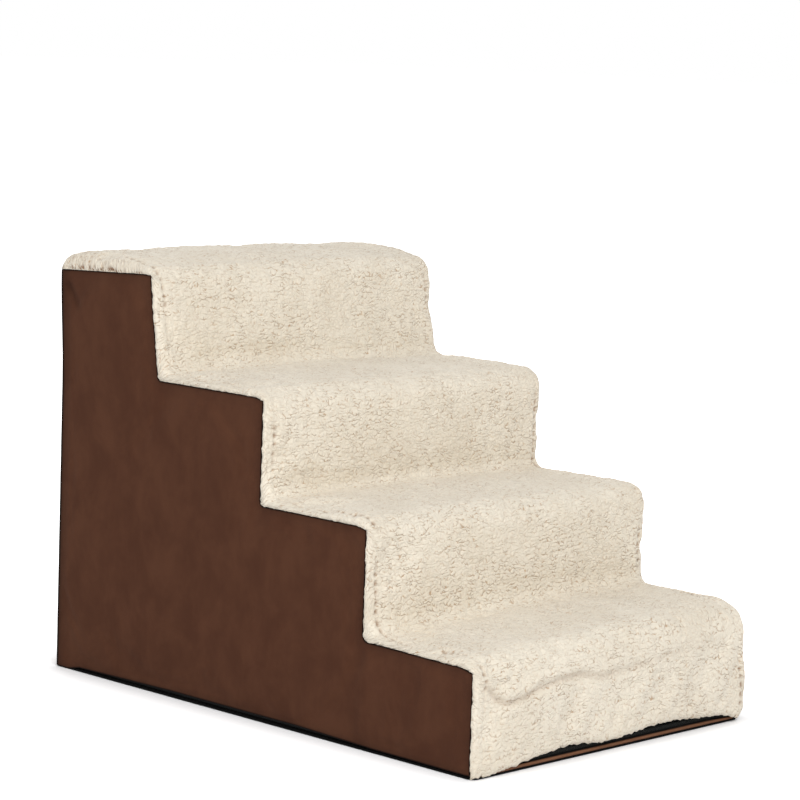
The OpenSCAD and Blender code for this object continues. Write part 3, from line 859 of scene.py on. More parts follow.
class STAIRS_OT_sherpa_runner(StairsOperator, bpy.types.Operator):
    """Sew the sherpa runner over the landing, the treads and the risers, down to its arched hem"""

    bl_idname = "stairs.sherpa_runner"
    bl_label = "Sherpa Runner"
    # Distances of the stations and of the rows beside the seams, and where those rows start and end
    pitch, fine_pitch, after_roll, fine_reach = 0.0023, 0.0011, 0.0016, 0.021
    # Rows on a roll and over the middle, stations on the back's rounding, and how many the cage steps over
    roll_rows, middle_rows, back_rows, cage_step = 14, 178, 9, 5
    # The pile starts a little inside the seam, and its roll bulges out over it
    seam_in, bulge, seam_allowance = 0.0006, 0.0021, 0.012
    # Distances from the back over which the landing's extra height fades, and its shares there
    puff_fade = ((0.07, 0.9), (0.1, 0.6))
    # The hem's curl: its least radius, its turns in degrees, its drop and return over its radius
    curl_least, curl_drop, curl_back = 0.0004, 2.2, 0.6
    curl_turns, turned_up = (25, 50, 75, 105, 140, 175), (0.004, 0.008, 0.012)
    # Distances along the runner where the landing's left seam starts and ends
    seam_start, seam_end = (0.012, 0.03), (0.125, 0.135)
    # Strength of the painted shade in a stitch's darkest dent, and of the painted shade in the crease's fold
    darkest, fold_dark = 0.85, 0.3
    # Kinds of bumps: height, size and seed
    hem_waves = (0.0004, 0.018, 3)
    pile_bumps = ((0.0009, 0.075, 11), (0.0005, 0.026, 12), (0.0006, 0.008, 13), (0.00042, 0.0048, 14))
    seam_drift, stitch_drift, gap_drift = (0.0008, 0.02, 16), (0.0012, 0.015, 17), (0.0016, 0.012, 18)
    rags, long_rags, corner_rags = (0.0009, 0.0034, 20), (0.0009, 0.008, 21), (0.0022, 0.0052, 23)
    side_tufts = (0.0011, 0.0042, 22)

    def rows(self, sizes):
        """Places of the rows from left to right, and the share of the full pile at each."""
        turn = quarter(self.roll_rows)
        rolled = self.seam_in + sizes.roll * (1 - np.cos(turn)) - self.bulge * np.sin(2 * turn)
        flat = np.arange(sizes.roll + self.after_roll, self.fine_reach, self.fine_pitch)
        edge_d = np.concatenate([rolled, flat])
        edge_share = np.concatenate([np.sin(turn), np.ones(len(flat))])
        middle = np.linspace(edge_d[-1], 2 * HALF_W - edge_d[-1], self.middle_rows)[1:-1]
        y = np.concatenate([edge_d, middle, 2 * HALF_W - edge_d[::-1]]) - HALF_W
        share = np.concatenate([edge_share, np.ones(len(middle)), edge_share[::-1]])
        return y, share

    def surface(self, y, share, sizes):
        """Stations [station, row, (x, z)] of the pile's plain surface, and the first of the hem's curl."""
        lift = share * (sizes.pile - sizes.crown * (y / HALF_W) ** 2)
        back = CORE_BACK - SUEDE_T + self.seam_in
        full = lift + sizes.landing_puff * share
        start = [np.stack([back + 2 * sizes.roll * (1 - math.cos(a)) + 0 * y, TOP_Z + full * math.sin(a)], -1)
                 for a in quarter(self.back_rows)]
        for along, puff in self.puff_fade:
            stretch_to(start, np.stack([back + along + 0 * y, TOP_Z + lift + puff * (full - lift)], -1),
                       self.pitch)
        stations = steps_profile(start, y, share, lift, sizes, self.pitch)
        arch = np.interp(width_share(y), *np.transpose(HEM_LIFT))
        hem = sizes.hem_low + (sizes.hem_high - sizes.hem_low) * arch + bumps(0, y, self.hem_waves)
        curl = 0.5 * lift + self.curl_least
        drop, rise = self.curl_drop * curl, self.curl_back * curl
        stretch_to(stations, np.stack([CORE_FRONT + lift, hem + drop], -1), self.pitch)
        curl_at = len(stations)
        for a in np.radians(self.curl_turns):
            stations.append(np.stack([CORE_FRONT + curl + curl * math.cos(a),
                                      hem + drop * (1 - math.sin(min(a, math.pi / 2)))
                                      + rise * (1 - math.sin(max(a, math.pi / 2)))], -1))
        for up in self.turned_up:
            stations.append(np.stack([CORE_FRONT + self.seam_in + 0 * y, hem + up], -1))
        return np.array(stations), curl_at

    def swell(self, grid, curl_at):
        """How far each point moves as the cloth settles, worked out on a coarse cage of stations and rows."""
        stations, rows = grid.shape[:2]
        pick_s = np.unique(np.append(np.arange(0, curl_at, self.cage_step), curl_at - 1))
        pick_y = np.unique(np.append(np.arange(0, rows, self.cage_step), rows - 1))
        cage = grid[np.ix_(pick_s, pick_y)]
        pinned = np.zeros(cage.shape[:2], bool)
        pinned[[0, -1]] = pinned[:, [0, 1, -2, -1]] = True
        moved = settled(cage.reshape(-1, 3), grid_faces(*cage.shape[:2])[:, ::-1], pinned.ravel(),
                        pressure=0.6, slack=0.012, cap=0.0025).reshape(cage.shape)
        at_s = np.interp(np.arange(stations), pick_s, np.arange(len(pick_s)))
        at_y = np.interp(np.arange(rows), pick_y, np.arange(len(pick_y)))
        i = np.minimum(at_s.astype(int), len(pick_s) - 2)
        j = np.minimum(at_y.astype(int), len(pick_y) - 2)
        a, b = smooth((at_s - i)[:, None, None], 0, 1), smooth((at_y - j)[None, :, None], 0, 1)
        return ((1 - a) * (1 - b) * moved[np.ix_(i, j)] + a * (1 - b) * moved[np.ix_(i + 1, j)]
                + (1 - a) * b * moved[np.ix_(i, j + 1)] + a * b * moved[np.ix_(i + 1, j + 1)])

    def stitches(self, s, side, from_seam, sizes):
        """How far the stitches draw the pile down, here more and there less, and their dents from 0 to 1,
        which get painted shade.
        """
        after_roll, width, furrow, dent, apart = 0.0008, 0.0017, 0.0009, 0.0015, 0.3
        patched, dented = (-0.25, 0.35), (0.4, 0.85)
        patches = smooth(uneven(s, side * apart, size=0.045, seed=15), *patched)
        line = sizes.roll + after_roll + bumps(s, 0 * s, self.seam_drift)
        beside = bell(from_seam - line, width)
        beat = wave(s + bumps(s, 0 * s, self.stitch_drift), sizes.stitch_gap)
        dents = beside * smooth(beat, *dented) * patches
        return furrow * beside * (0.5 + 0.5 * patches) + dent * dents, dents

    def fringe(self, s, share, from_seam, landing, sizes):
        """Where tufts lean over the landing's left seam, and the gaps between them, both from 0 to 1."""
        tuft, lean, steep, thinned = 0.0058, 0.004, 30, 0.75
        # Between which heights the tufts start, thin out and end, and the limits for clumps and gaps
        starts, thins, ends = (0.0, 0.1), (0.2, 0.45), (0.8, 1.1)
        clumped, parted = (-0.6, 0.1), (0.45, 0.9)
        slant = wave(s - lean * share + bumps(s, from_seam, self.gap_drift), tuft)
        rise = np.broadcast_to(share, s.shape) + steep * np.maximum(from_seam - sizes.roll, 0)
        tufts = landing * smooth(rise, *starts) * (1 - thinned * smooth(rise, *thins))
        clumps = smooth(uneven(s, 2 * from_seam, size=0.02, seed=19), *clumped)
        tufts = tufts * (1 - smooth(rise, *ends)) * clumps
        return tufts, tufts * smooth(slant, *parted)

    def crease(self, y, z, low):
        """Height of the crease across the lowest riser, with the pile bulging over it, and its fold, where
        shade is painted.
        """
        depth, width = 0.0024, 0.003
        (over, over_z, over_w), (under, under_z, under_w) = (0.0026, 0.0075, 0.0055), (0.0005, -0.01, 0.006)
        share_c, height_c, depth_c = np.transpose(CREASE)
        across = width_share(y)
        off = z - np.interp(across, share_c, height_c)
        there = np.interp(across, share_c, depth_c) * low
        fold = there * bell(off, width)
        puffs = over * bell(off - over_z, over_w) + under * bell(off - under_z, under_w)
        return there * puffs - depth * fold, fold

    def hanging(self, plain, s, y, share, landing):
        """How far [station, row, xyz] tufts hang over the edges of the side panels."""
        reach, outwards, lean, apart = 0.0009, 0.4, 0.003, 0.5
        # Between which shares of the roll the tufts start and end, and the loose ones end; limits for clumps
        starts, ends, loose_ends, clumped = (0.0, 0.12), (0.25, 0.7), (0.2, 0.7), (-0.3, 0.5)
        side = np.sign(y)
        ahead_x, ahead_z = np.gradient(plain[..., 0], axis=0), np.gradient(plain[..., 1], axis=0)
        ahead = np.maximum(np.hypot(ahead_x, ahead_z), TINY)
        tufts = smooth(uneven(s - lean * share, side * apart, size=0.0029, seed=24), *clumped)
        hang = reach * (1 + landing) * tufts * smooth(share, *starts) * (1 - smooth(share, *ends))
        loose = bumps(s, 0 * s + side, self.side_tufts) * (1 - smooth(share, *loose_ends))
        aside = side * (outwards * hang + loose)
        return np.stack([hang * ahead_z / ahead, aside, -hang * ahead_x / ahead], -1)

    def ragged(self, s, y, last):
        """How far the front hem hangs down in tufts, most of all at its left corner."""
        corner_w, before, after = 0.018, 0.007, 0.004
        rags = bumps(y, 0 * y, self.rags) + np.abs(bumps(y, 0 * y, self.long_rags))
        rags += np.exp(-(y + HALF_W) / corner_w) * np.abs(bumps(y, 0 * y, self.corner_rags))
        return smooth(s, last - before, last + after) * rags

    def build(self, sizes, colours):
        gap_depth, least_z, crease_reach = 0.0014, 0.0003, 0.105
        row_y, row_share = self.rows(sizes)
        plain, curl_at = self.surface(row_y, row_share, sizes)
        middle = plain[:, len(row_y) // 2]
        run = np.concatenate([[0], np.cumsum(np.linalg.norm(np.diff(middle, axis=0), axis=1))])
        s, y = np.meshgrid(run, row_y, indexing="ij")
        share = np.broadcast_to(row_share, s.shape)
        rolled = np.diff(row_share * sizes.pile, prepend=0.0)
        across = np.broadcast_to(np.cumsum(np.hypot(np.diff(row_y, prepend=row_y[0]), rolled)), s.shape)
        from_seam, last = HALF_W - np.abs(y), run[curl_at]
        landing = (1 - smooth(s, *self.seam_end)) * smooth(s, *self.seam_start) * (y < 0)

        drawn, dents = self.stitches(s, np.sign(y), from_seam, sizes)
        fringe, gaps = self.fringe(s, share, from_seam, landing, sizes)
        crease, fold = self.crease(y, plain[..., 1], s > last - crease_reach)
        height = bumps(s, y, *self.pile_bumps) - drawn - gap_depth * gaps + crease
        # The back seam holds the first stations, and the side seams the rows beside them
        held_stations, at_seam, inwards = 6, 0.25, 1.3
        held = np.minimum(1, np.arange(len(run)) / held_stations)[:, None]
        held = np.minimum(1, at_seam + inwards * share) * held

        grid = np.stack([plain[..., 0], y, plain[..., 1]], -1)
        grid = grid + self.swell(grid, curl_at) + grid_normals(grid) * (height * held)[..., None]
        grid += self.hanging(plain, s, y, share, landing)
        grid[..., 2] = np.maximum(grid[..., 2] - self.ragged(s, y, last), least_z)
        grid = eased(grid, sizes)
        # The fringe marks where painted shade goes between the tufts over the landing's seam; the stitches'
        # dents and the crease's fold carry painted shade
        marks = {"along": s, "across": across, "fringe": fringe,
                 "dent_and_fold_shade": np.clip(self.darkest * dents + self.fold_dark * fold, 0, self.darkest)}
        runner = add_piece("runner_sherpa", grid.reshape(-1, 3), grid_faces(*grid.shape[:2])[:, ::-1],
                           sherpa_finish(colours), marks)
        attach(runner, "stairs")
        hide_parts("sherpa_runner")


class STAIRS_OT_side_panels(StairsOperator, bpy.types.Operator):
    """Sew the two stepped side panels of microsuede"""

    bl_idname = "stairs.side_panels"
    bl_label = "Side Panels"
    outline_pitch, pitch = 0.003, 0.0042
    # Width over which a panel rises from its edge, and how far its cloth may swell
    rise, cap = 0.03, 0.0016
    # Kinds of bumps: height, size and seed, to which the side of 1 or -1 is added
    broad, fine, pucker = (0.0006, 0.11, 30), (0.00012, 0.02, 34), (0.00022, 0.011, 38)
    # The crease from the back's top corner: its start from there, its direction, and its depth on each side
    crease_from, crease_turn, crease_depth = (0.007, -0.012), (0.58, 0.81), {-1: 0.0016, 1: 0.0006}

    def crease(self, x, z):
        """Where a soft crease runs down from the back's top corner, from 0 to 1."""
        width, starts, ends = 0.0042, (-0.004, 0.006), (0.022, 0.042)
        ahead, aside = self.crease_turn
        x, z = x - CORE_BACK - self.crease_from[0], z - TOP_Z - self.crease_from[1]
        across, along = x * aside + z * ahead, x * ahead - z * aside
        return bell(across, width) * smooth(along, *starts) * (1 - smooth(along, *ends))

    def marks(self, edge, x, crease):
        """How much painted shade the suede gets: at its edge, at the back's corner and in the crease."""
        # Width of the painted shade at the edge, strength and width of its softer fade, strength and width of
        # the painted shade along the back's corner, and its strength in the crease
        edge_w, fade, fade_w, corner, corner_w, fold = 0.0014, 0.1, 0.009, 0.24, 0.0075, 0.36
        return np.clip(bell(edge, edge_w) + fade * bell(edge, fade_w) + corner * bell(x - CORE_BACK, corner_w)
                       + fold * crease, 0, 1)

    def build(self, sizes, colours):
        suede = suede_finish("side_suede", colours.suede, colours.suede_dark, colours.suede_painted_shade)
        for side, name in ((-1, "left"), (1, "right")):
            outline = panel_outline(side, sizes, self.outline_pitch)
            plan, share, triangles, from_edge = sewn_sheet(outline, SUEDE_T, self.pitch)
            kinds = [(*kind[:2], kind[2] + side) for kind in (self.broad, self.fine, self.pucker)]
            relief = swollen(plan, triangles, from_edge, sizes.puff, self.rise, self.cap, *kinds)
            crease = self.crease(*plan.T)
            relief -= self.crease_depth[side] * crease
            points, faces, edge = sheet_shell(plan, share, triangles, from_edge, SUEDE_T, relief)
            placed = np.column_stack([points[:, 0], side * (HALF_CORE + points[:, 2]), points[:, 1]])
            placed = eased(placed, sizes)
            both_sides = np.concatenate([crease, crease[from_edge >= RIM]])
            panel = add_piece(f"{name}_panel_suede", placed, faces[:, ::-1] if side > 0 else faces, suede,
                              {"edge_and_crease_shade": self.marks(edge, placed[:, 0], both_sides)})
            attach(panel, "stairs")
            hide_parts(f"{name}_side_panel")


class STAIRS_OT_back_panel(StairsOperator, bpy.types.Operator):
    """Sew the tall back panel of microsuede"""

    bl_idname = "stairs.back_panel"
    bl_label = "Back Panel"
    outline_pitch, pitch, corner_r = 0.003, 0.0055, 0.0015
    # How much further it puffs than a side panel, over which width, and how far its cloth may swell
    fuller, rise, cap = 1.4, 0.04, 0.0018
    # Kinds of bumps: height, size and seed
    broad, fine, pucker = (0.0008, 0.13, 41), (0.00012, 0.02, 42), (0.0002, 0.011, 43)
    # Width of the painted shade along its edge
    edge_w = 0.0009

    def build(self, sizes, colours):
        low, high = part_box("back_panel")
        outline = rounded_outline(low.y, high.y, low.z, high.z, [self.corner_r] * 4, self.outline_pitch)
        plan, share, triangles, from_edge = sewn_sheet(outline, SUEDE_T, self.pitch)
        relief = swollen(plan, triangles, from_edge, self.fuller * sizes.puff, self.rise, self.cap,
                         self.broad, self.fine, self.pucker)
        points, faces, edge = sheet_shell(plan, share, triangles, from_edge, SUEDE_T, relief)
        placed = eased(np.column_stack([CORE_BACK - points[:, 2], points[:, 0], points[:, 1]]), sizes)
        suede = suede_finish("back_suede", colours.suede, colours.suede_dark, colours.suede_painted_shade)
        panel = add_piece("back_panel_suede", placed, faces[:, ::-1], suede,
                          {"edge_and_crease_shade": bell(edge, self.edge_w)})
        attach(panel, "stairs")
        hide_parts("back_panel")


class STAIRS_OT_front_strip(StairsOperator, bpy.types.Operator):
    """Sew the narrow brown strip under the front zip"""

    bl_idname = "stairs.front_strip"
    bl_label = "Front Strip"
    outline_pitch, pitch = 0.0016, 0.0012
    # How far the strip ends inside its room: at its foot, at its top and under the zip's coil at its ends
    foot_in, top_in, under_coil = 0.0003, 0.0004, 0.0012
    # How far it bulges, over which widths, and the width and the strength of the painted shade at its edge
    bulge, rise, rim_w, edge_w, turned = 0.0007, 0.002, 0.0012, 0.0004, 0.8
    # Its nap brushed the dark way, as a share of its colour
    shade = 0.8
    # Height, size and seed of its bumps
    waves = (0.00025, 0.02, 51)
    # The cut has the seam allowances too, which lie hidden behind the strip
    cut_w = 0.0105

    def build(self, sizes, colours):
        low, high = STRIP
        reach, level = high.y, high.y - sizes.front_ramp
        turn = sizes.side_ramp / (sizes.side_ramp + sizes.front_ramp)
        end_h = ZIP_SIDE_Z + turn * (ZIP_FRONT_Z - ZIP_SIDE_Z) - COIL_HALF - self.under_coil
        foot, top = low.z + self.foot_in, high.z - self.top_in
        corners = [(-reach, foot), (reach, foot), (reach, end_h), (level, top), (-level, top),
                   (-reach, end_h)]
        stations = [np.array([corners[0]])]
        for corner in corners[1:] + corners[:1]:
            stretch_to(stations, np.array([corner]), self.outline_pitch)
        outline = np.array([s[0] for s in stations[:-1]])
        plan, share, triangles, from_edge = sewn_sheet(outline, SUEDE_T, self.pitch)
        relief = self.bulge * smooth(from_edge, 0, self.rise) + bumps(*plan.T, self.waves)
        relief *= smooth(from_edge, 0, self.rim_w)
        points, faces, edge = sheet_shell(plan, share, triangles, from_edge, SUEDE_T, relief)
        placed = np.column_stack([low.x + points[:, 2], points[:, 0], points[:, 1]])
        # Its paler colour is a painted highlight for the light on its front; its edges get painted shade
        suede = suede_finish("strip_suede", colours.strip, tuple(c * self.shade for c in colours.strip),
                             colours.suede_painted_shade)
        strip = add_piece("front_strip_suede", placed, faces, suede,
                          {"edge_and_crease_shade": self.turned * bell(edge, self.edge_w)})
        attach(strip, "stairs")
        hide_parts("front_strip")


class STAIRS_OT_base_panel(StairsOperator, bpy.types.Operator):
    """Lay the non-slip base fabric with its grip dots"""

    bl_idname = "stairs.base_panel"
    bl_label = "Base Panel"
    outline_pitch, pitch, rib = 0.004, 0.011, 0.0016
    # Height of the dots under the fabric, and how far the fabric reaches into the foam
    dot_h, into_foam = 0.0003, 0.0003
    # Rings of a dot, from the fabric down: radius and height
    dot_rings, dot_sides = ((0.0019, 0.0004), (0.0016, 0.0002), (0.0009, 0.0)), 8
    # The last dot's least distance to the edge, as a share of the dots' distance
    margin = 0.9

    def build(self, sizes, colours):
        low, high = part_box("base_panel")
        radii = [0, sizes.corner_r, sizes.corner_r, 0]
        outline = rounded_outline(low.x, high.x, low.y, high.y, radii, self.outline_pitch)
        thickness = BASE_T - self.dot_h + self.into_foam
        plan, share, triangles, from_edge = sewn_sheet(outline, thickness, self.pitch)
        points, faces, _ = sheet_shell(plan, share, triangles, from_edge, thickness, 0 * from_edge)
        placed = np.column_stack([points[:, :2], points[:, 2] + self.dot_h])
        fabric = woven_finish("base_fabric", colours.base, shade=0.5, rib=self.rib, rough=0.85)
        sheet = add_piece("base_fabric_sheet", placed, faces, fabric,
                          {"along": placed[:, 0], "across": placed[:, 1]})
        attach(sheet, "stairs")
        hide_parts("base_panel")

        gap, sides = sizes.dot_gap, self.dot_sides
        dot = np.array([(r * math.cos(a), r * math.sin(a), z) for r, z in self.dot_rings
                        for a in np.linspace(0, 2 * math.pi, sides, endpoint=False)])
        xs = np.arange(low.x + gap, high.x - gap * self.margin, gap)
        ys = np.arange(low.y + gap, high.y - gap * self.margin, gap * TRIANGLE_ROW)
        centres = np.array([(x + (gap / 2 if row % 2 else 0), y, 0) for row, y in enumerate(ys) for x in xs])
        placed = (centres[:, None] + dot[None]).reshape(-1, 3)
        one = grid_faces(len(self.dot_rings), sides, closed=True)[:, ::-1].tolist()
        one.append(list(range(len(dot) - sides, len(dot)))[::-1])
        rubber = plastic_finish("grip_dots", colours.dots, rough=0.55, size=0.0008)
        dots = add_piece("base_grip_dots", placed, repeated(one, len(dot), len(centres)), rubber)
        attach(dots, "stairs")


def zip_path(depth, sizes, pitch):
    """Points along the zip at a depth inside the foam's faces, from its left end to its right one."""
    arc_steps = 12
    r = sizes.corner_r
    climb = sizes.side_ramp + sizes.front_ramp
    side, turn = (sizes.side_ramp - r) / climb, sizes.side_ramp / climb
    half = [(ZIP_BACK_X, HALF_CORE - depth, 0), (CORE_FRONT - sizes.side_ramp, HALF_CORE - depth, 0)]
    for i, a in enumerate(quarter(arc_steps + 1)):
        half.append((CORE_FRONT - r + (r - depth) * math.sin(a), HALF_CORE - r + (r - depth) * math.cos(a),
                     side + (turn - side) * i / arc_steps))
    half.append((CORE_FRONT - depth, HALF_CORE - r - sizes.front_ramp, 1))
    route = np.array([(x, -y, share) for x, y, share in half] + half[::-1])
    run = np.concatenate([[0], np.cumsum(np.linalg.norm(np.diff(route[:, :2], axis=0), axis=1))])
    at = np.linspace(0, run[-1], round(run[-1] / pitch) + 1)
    points = points_at(at, run, route)
    points[:, 2] = ZIP_SIDE_Z + points[:, 2] * (ZIP_FRONT_Z - ZIP_SIDE_Z)
    return points, at


class STAIRS_OT_zip_tapes(StairsOperator, bpy.types.Operator):
    """Weave the two tapes of the zip round the foot of the cover"""

    bl_idname = "stairs.zip_tapes"
    bl_label = "Zip Tapes"
    pitch, rib, cut_w = 0.0025, 0.0012, 0.012
    # Thickness of a tape, and its distance from the middle of the coils
    tape_t, from_middle = 0.0006, 0.0006
    # Heights of the points on a tape's outer side, as shares of its width
    shares = (0.06, 0.35, 0.65, 0.94)

    def build(self, sizes, colours):
        woven = woven_finish("zip_tape", colours.tape, shade=0.45, rib=self.rib, rough=0.8)
        outer, run = zip_path(TAPE_OUT_D, sizes, self.pitch)
        inner, _ = zip_path(TAPE_OUT_D + self.tape_t, sizes, self.pitch)
        inner = points_at(np.linspace(0, 1, len(outer)), np.linspace(0, 1, len(inner)), inner)
        middle = (outer + inner) / 2
        for name, node in (("upper", "zipper_tape_upper"), ("lower", "zipper_tape_lower")):
            if name == "upper":
                low, high = outer[:, 2] + self.from_middle, outer[:, 2] + TAPE_REACH
            else:
                low, high = np.full(len(outer), BASE_T), outer[:, 2] - self.from_middle
            ring = [(outer, low + (high - low) * share) for share in self.shares] + [(middle, high)]
            ring += [(inner, low + (high - low) * share) for share in self.shares[::-1]] + [(middle, low)]
            points = np.stack([np.column_stack([path[:, :2], z]) for path, z in ring], 1)
            tape = add_piece(f"zip_tape_{name}", points.reshape(-1, 3), tube_faces(*points.shape[:2]), woven,
                             {"along": np.repeat(run, len(ring)), "across": points[..., 2].ravel()})
            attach(tape, "stairs")
            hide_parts(node)
            shown = float(np.mean(high - low))


class STAIRS_OT_zip_coils(StairsOperator, bpy.types.Operator):
    """Set the teeth of the two coils along the tapes, closed into each other"""

    bl_idname = "stairs.zip_coils"
    bl_label = "Zip Coils"
    # Distance of the path's points, and how far ahead its direction is taken
    pitch, look = 0.0005, 0.0004
    # How far the coils stand before the tapes, and end inside their room
    before_tape, end_in = 0.00075, 0.0006
    # A tooth's radius along the zip and across it, its sides and the turn of their first corner in degrees
    along_r, across_r, sides, first_turn = 0.00058, 0.00074, 6, 30
    # Rings of a tooth: height and width, as shares
    rings = ((1.0, 0.35), (0.75, 1.0), (0.0, 1.0), (-0.16, 0.6))

    def build(self, sizes, colours):
        nylon = plastic_finish("zip_coil", colours.tape, rough=0.42, size=0.0009)
        path, run = zip_path(TAPE_OUT_D - self.before_tape, sizes, self.pitch)
        turns = np.radians(self.first_turn + 360 / self.sides * np.arange(self.sides))
        tooth = np.array([(self.along_r * width * math.cos(a), self.across_r * width * math.sin(a),
                           rise * COIL_HALF) for rise, width in self.rings for a in turns])
        for name, up, node in (("upper", 1, "zipper_coil_upper"), ("lower", -1, "zipper_coil_lower")):
            start = COIL[0].x - ZIP_BACK_X + self.end_in - (0 if up > 0 else sizes.tooth_gap / 2)
            at = np.arange(start, run[-1] - start, sizes.tooth_gap)
            centre = points_at(at, run, path)
            ahead = points_at(at + self.look, run, path) - centre
            ahead[:, 2] = 0
            ahead /= np.linalg.norm(ahead, axis=1, keepdims=True)
            out = np.column_stack([ahead[:, 1], -ahead[:, 0], 0 * at])
            points = centre[:, None] + ahead[:, None] * tooth[:, :1] + out[:, None] * tooth[:, 1:2]
            points[..., 2] += up * tooth[:, 2]
            walls = grid_faces(len(self.rings), self.sides, closed=True)
            ends = np.array([range(self.sides), range(len(tooth) - 1, len(tooth) - 1 - self.sides, -1)])
            walls, ends = (walls, ends[:, ::-1]) if up > 0 else (walls[:, ::-1], ends)
            teeth = repeated(walls.tolist() + ends.tolist(), len(tooth), len(at))
            coil = add_piece(f"zip_coil_{name}", points.reshape(-1, 3), teeth, nylon)
            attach(coil, "stairs")
            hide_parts(node)


class STAIRS_OT_zip_metal(StairsOperator, bpy.types.Operator):
    """Give the slider, its pull and the stops their painted metal"""

    bl_idname = "stairs.zip_metal"
    bl_label = "Zip Metal"

    def build(self, sizes, colours):
        metal = metal_finish(colours)
        for node in ("zipper_slider", "zipper_pull", "zipper_top_stops", "zipper_bottom_stop"):
            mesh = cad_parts[node].data
            if not mesh.materials:
                mesh.materials.append(metal)
            for slot in range(len(mesh.materials)):
                mesh.materials[slot] = metal


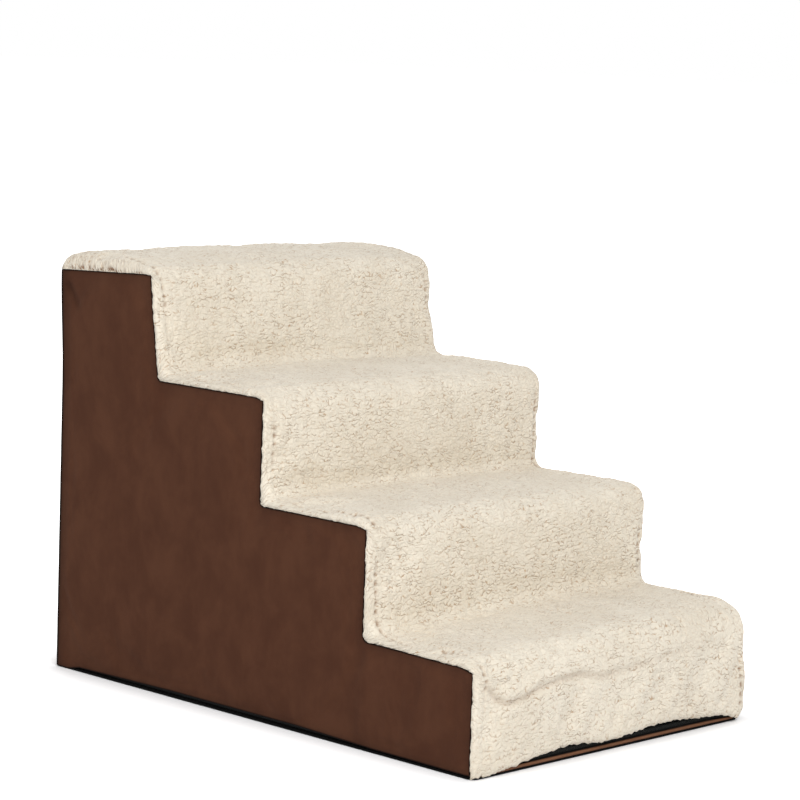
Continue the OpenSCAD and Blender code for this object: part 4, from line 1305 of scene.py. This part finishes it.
class STAIRS_OT_studio(StairsOperator, bpy.types.Operator):
    """Set the pale floor, the soft lights and the camera"""

    bl_idname = "stairs.studio"
    bl_label = "Studio"
    # Half the floor's length, and the tone, share and size of its paper's blots
    floor_half, floor_shade, paper_share, paper_size = 30.0, 0.99, 0.2, 0.4
    # How much of its white the floor shows at the stairs' foot, and what it gains soon after and further on
    at_foot, soon, later = 0.1, 0.25, 0.65
    # Colour and strength of the sky's light
    sky_tone, sky_strength = (1.0, 0.995, 0.985), 0.46
    # Each lamp's name, place, size and power
    lamps = (("key_softbox", (2.3, -1.3, 2.4), 1.6, 72.0), ("fill_softbox", (-0.3, -3.2, 1.2), 2.0, 18.0),
             ("back_softbox", (-2.4, 1.8, 1.7), 2.4, 26.0))
    lamp_aim = (0, 0, 0.2)
    # Turn, rise and roll of the camera in degrees, what it looks at and from how far
    camera_turns, camera_aim, distance = (-45.908, 7.308, 2.024), (-0.0046, 0, 0.2842), 2.79748
    # Focal length and width of the picture in pixels, and width of the sensor in millimetres
    focal, picture, sensor = 2935.94, 800, 36

    def build(self, sizes, colours):
        self.floor(colours)
        self.sky()
        for lamp in self.lamps:
            self.lamp(*lamp)
        self.camera()

    def floor(self, colours):
        """A pale paper floor that shows as white beyond the stairs' shadow."""
        f = Finish("studio_floor", Roughness=1.0, Specular_IOR_Level=0.0)
        paper = f.noise(f.place(), self.paper_size, detail=2.0)
        shade = tuple(c * self.floor_shade for c in colours.floor)
        f.wear(f.blend(paper * self.paper_share, colours.floor, shade))
        away = self.away(f)
        clear = self.at_foot + self.soon * away.ramp(0.0, 0.03) + self.later * away.ramp(0.02, 0.1)
        glow = f.node("ShaderNodeEmission", None, {"Color": (1.0, 1.0, 1.0)})
        dark = f.node("ShaderNodeEmission", None, {"Color": (0.0, 0.0, 0.0)})
        shown = f.node("ShaderNodeMixShader", None, {0: f.seen() * clear, 1: dark, 2: glow})
        both = f.node("ShaderNodeAddShader", None, {0: Value(f, f.shader.outputs[0]), 1: shown})
        f.connect(f.tree.nodes["Material Output"].inputs["Surface"], both)
        half = self.floor_half
        corners = [(-half, -half, 0), (half, -half, 0), (half, half, 0), (-half, half, 0)]
        floor = add_piece("studio_floor", corners, [[0, 1, 2, 3]], f.material)

    def away(self, f):
        """Distance from the foot of the stairs over the floor."""
        beside = f.vector("SUBTRACT", f.vector("ABSOLUTE", f.place()), (CORE_FRONT, HALF_W, 0.0))
        return f.vector("LENGTH", f.vector("MAXIMUM", beside, (0.0, 0.0, 0.0)), out="Value")

    def sky(self):
        """An even soft light from all round, shown as white."""
        world = bpy.data.worlds.new("studio")
        bpy.context.scene.world = world
        sky = Shading(world)
        sky.tree.nodes.clear()
        light = sky.node("ShaderNodeBackground", None,
                         {"Color": self.sky_tone, "Strength": self.sky_strength})
        white = sky.node("ShaderNodeBackground", None, {"Color": (1.0, 1.0, 1.0), "Strength": 1.0})
        shown = sky.node("ShaderNodeMixShader", None, {0: sky.seen(), 1: light, 2: white})
        sky.node("ShaderNodeOutputWorld", None, {"Surface": shown})

    def lamp(self, name, place, size, power):
        """A large soft lamp that faces the stairs."""
        data = bpy.data.lights.new(name, "AREA")
        data.shape, data.size, data.energy = "SQUARE", size, power
        lamp = bpy.data.objects.new(name, data)
        lamp.location = place
        lamp.rotation_euler = (Vector(self.lamp_aim) - Vector(place)).to_track_quat("-Z", "Y").to_euler()
        bpy.context.scene.collection.objects.link(lamp)

    def camera(self):
        """The camera stands in front of the left corner, a little above the landing's height."""
        turn, rise, roll = (math.radians(a) for a in self.camera_turns)
        back = Vector((math.cos(rise) * math.cos(turn), math.cos(rise) * math.sin(turn), math.sin(rise)))
        right = (-back).cross(Vector((0, 0, 1))).normalized()
        up = right.cross(-back)
        right, up = (right * math.cos(roll) + up * math.sin(roll),
                     up * math.cos(roll) - right * math.sin(roll))
        data = bpy.data.cameras.new("photo_camera")
        data.lens = self.sensor * self.focal / self.picture
        camera = bpy.data.objects.new("photo_camera", data)
        stand = Vector(self.camera_aim) + self.distance * back
        camera.matrix_world = Matrix.Translation(stand) @ Matrix((right, up, back)).transposed().to_4x4()
        bpy.context.scene.collection.objects.link(camera)
        bpy.context.scene.camera = camera
        bpy.context.scene.view_settings.view_transform = "Standard"


OPERATORS = (STAIRS_OT_foam_slabs, STAIRS_OT_sherpa_runner, STAIRS_OT_side_panels, STAIRS_OT_back_panel,
             STAIRS_OT_front_strip, STAIRS_OT_base_panel, STAIRS_OT_zip_tapes, STAIRS_OT_zip_coils,
             STAIRS_OT_zip_metal, STAIRS_OT_studio)


class STAIRS_PT_panel(bpy.types.Panel):
    """Lists the stairs' pieces, sizes and colours in the sidebar"""

    bl_idname = "STAIRS_PT_panel"
    bl_label = "Pet Stairs"
    bl_space_type = "VIEW_3D"
    bl_region_type = "UI"
    bl_category = "Pet Stairs"

    def draw(self, context):
        for group in (context.scene.cover_sizes, context.scene.cover_colours):
            column = self.layout.column(align=True)
            for name in type(group).__annotations__:
                column.prop(group, name)
        column = self.layout.column(align=True)
        for operator in OPERATORS:
            column.operator(operator.bl_idname)


CLASSES = (CoverSizes, CoverColours, *OPERATORS, STAIRS_PT_panel)


def register():
    """Make the properties, the operators and the panel known to Blender."""
    for cls in CLASSES:
        bpy.utils.register_class(cls)
    bpy.types.Scene.cover_sizes = bpy.props.PointerProperty(type=CoverSizes)
    bpy.types.Scene.cover_colours = bpy.props.PointerProperty(type=CoverColours)


def unregister():
    """Take them away again."""
    del bpy.types.Scene.cover_colours
    del bpy.types.Scene.cover_sizes
    for cls in reversed(CLASSES):
        bpy.utils.unregister_class(cls)


def main():
    """Build every piece in order."""
    register()
    for operator in OPERATORS:
        group, name = operator.bl_idname.split(".")
        getattr(getattr(bpy.ops, group), name)()


if __name__ == "__main__":
    main()
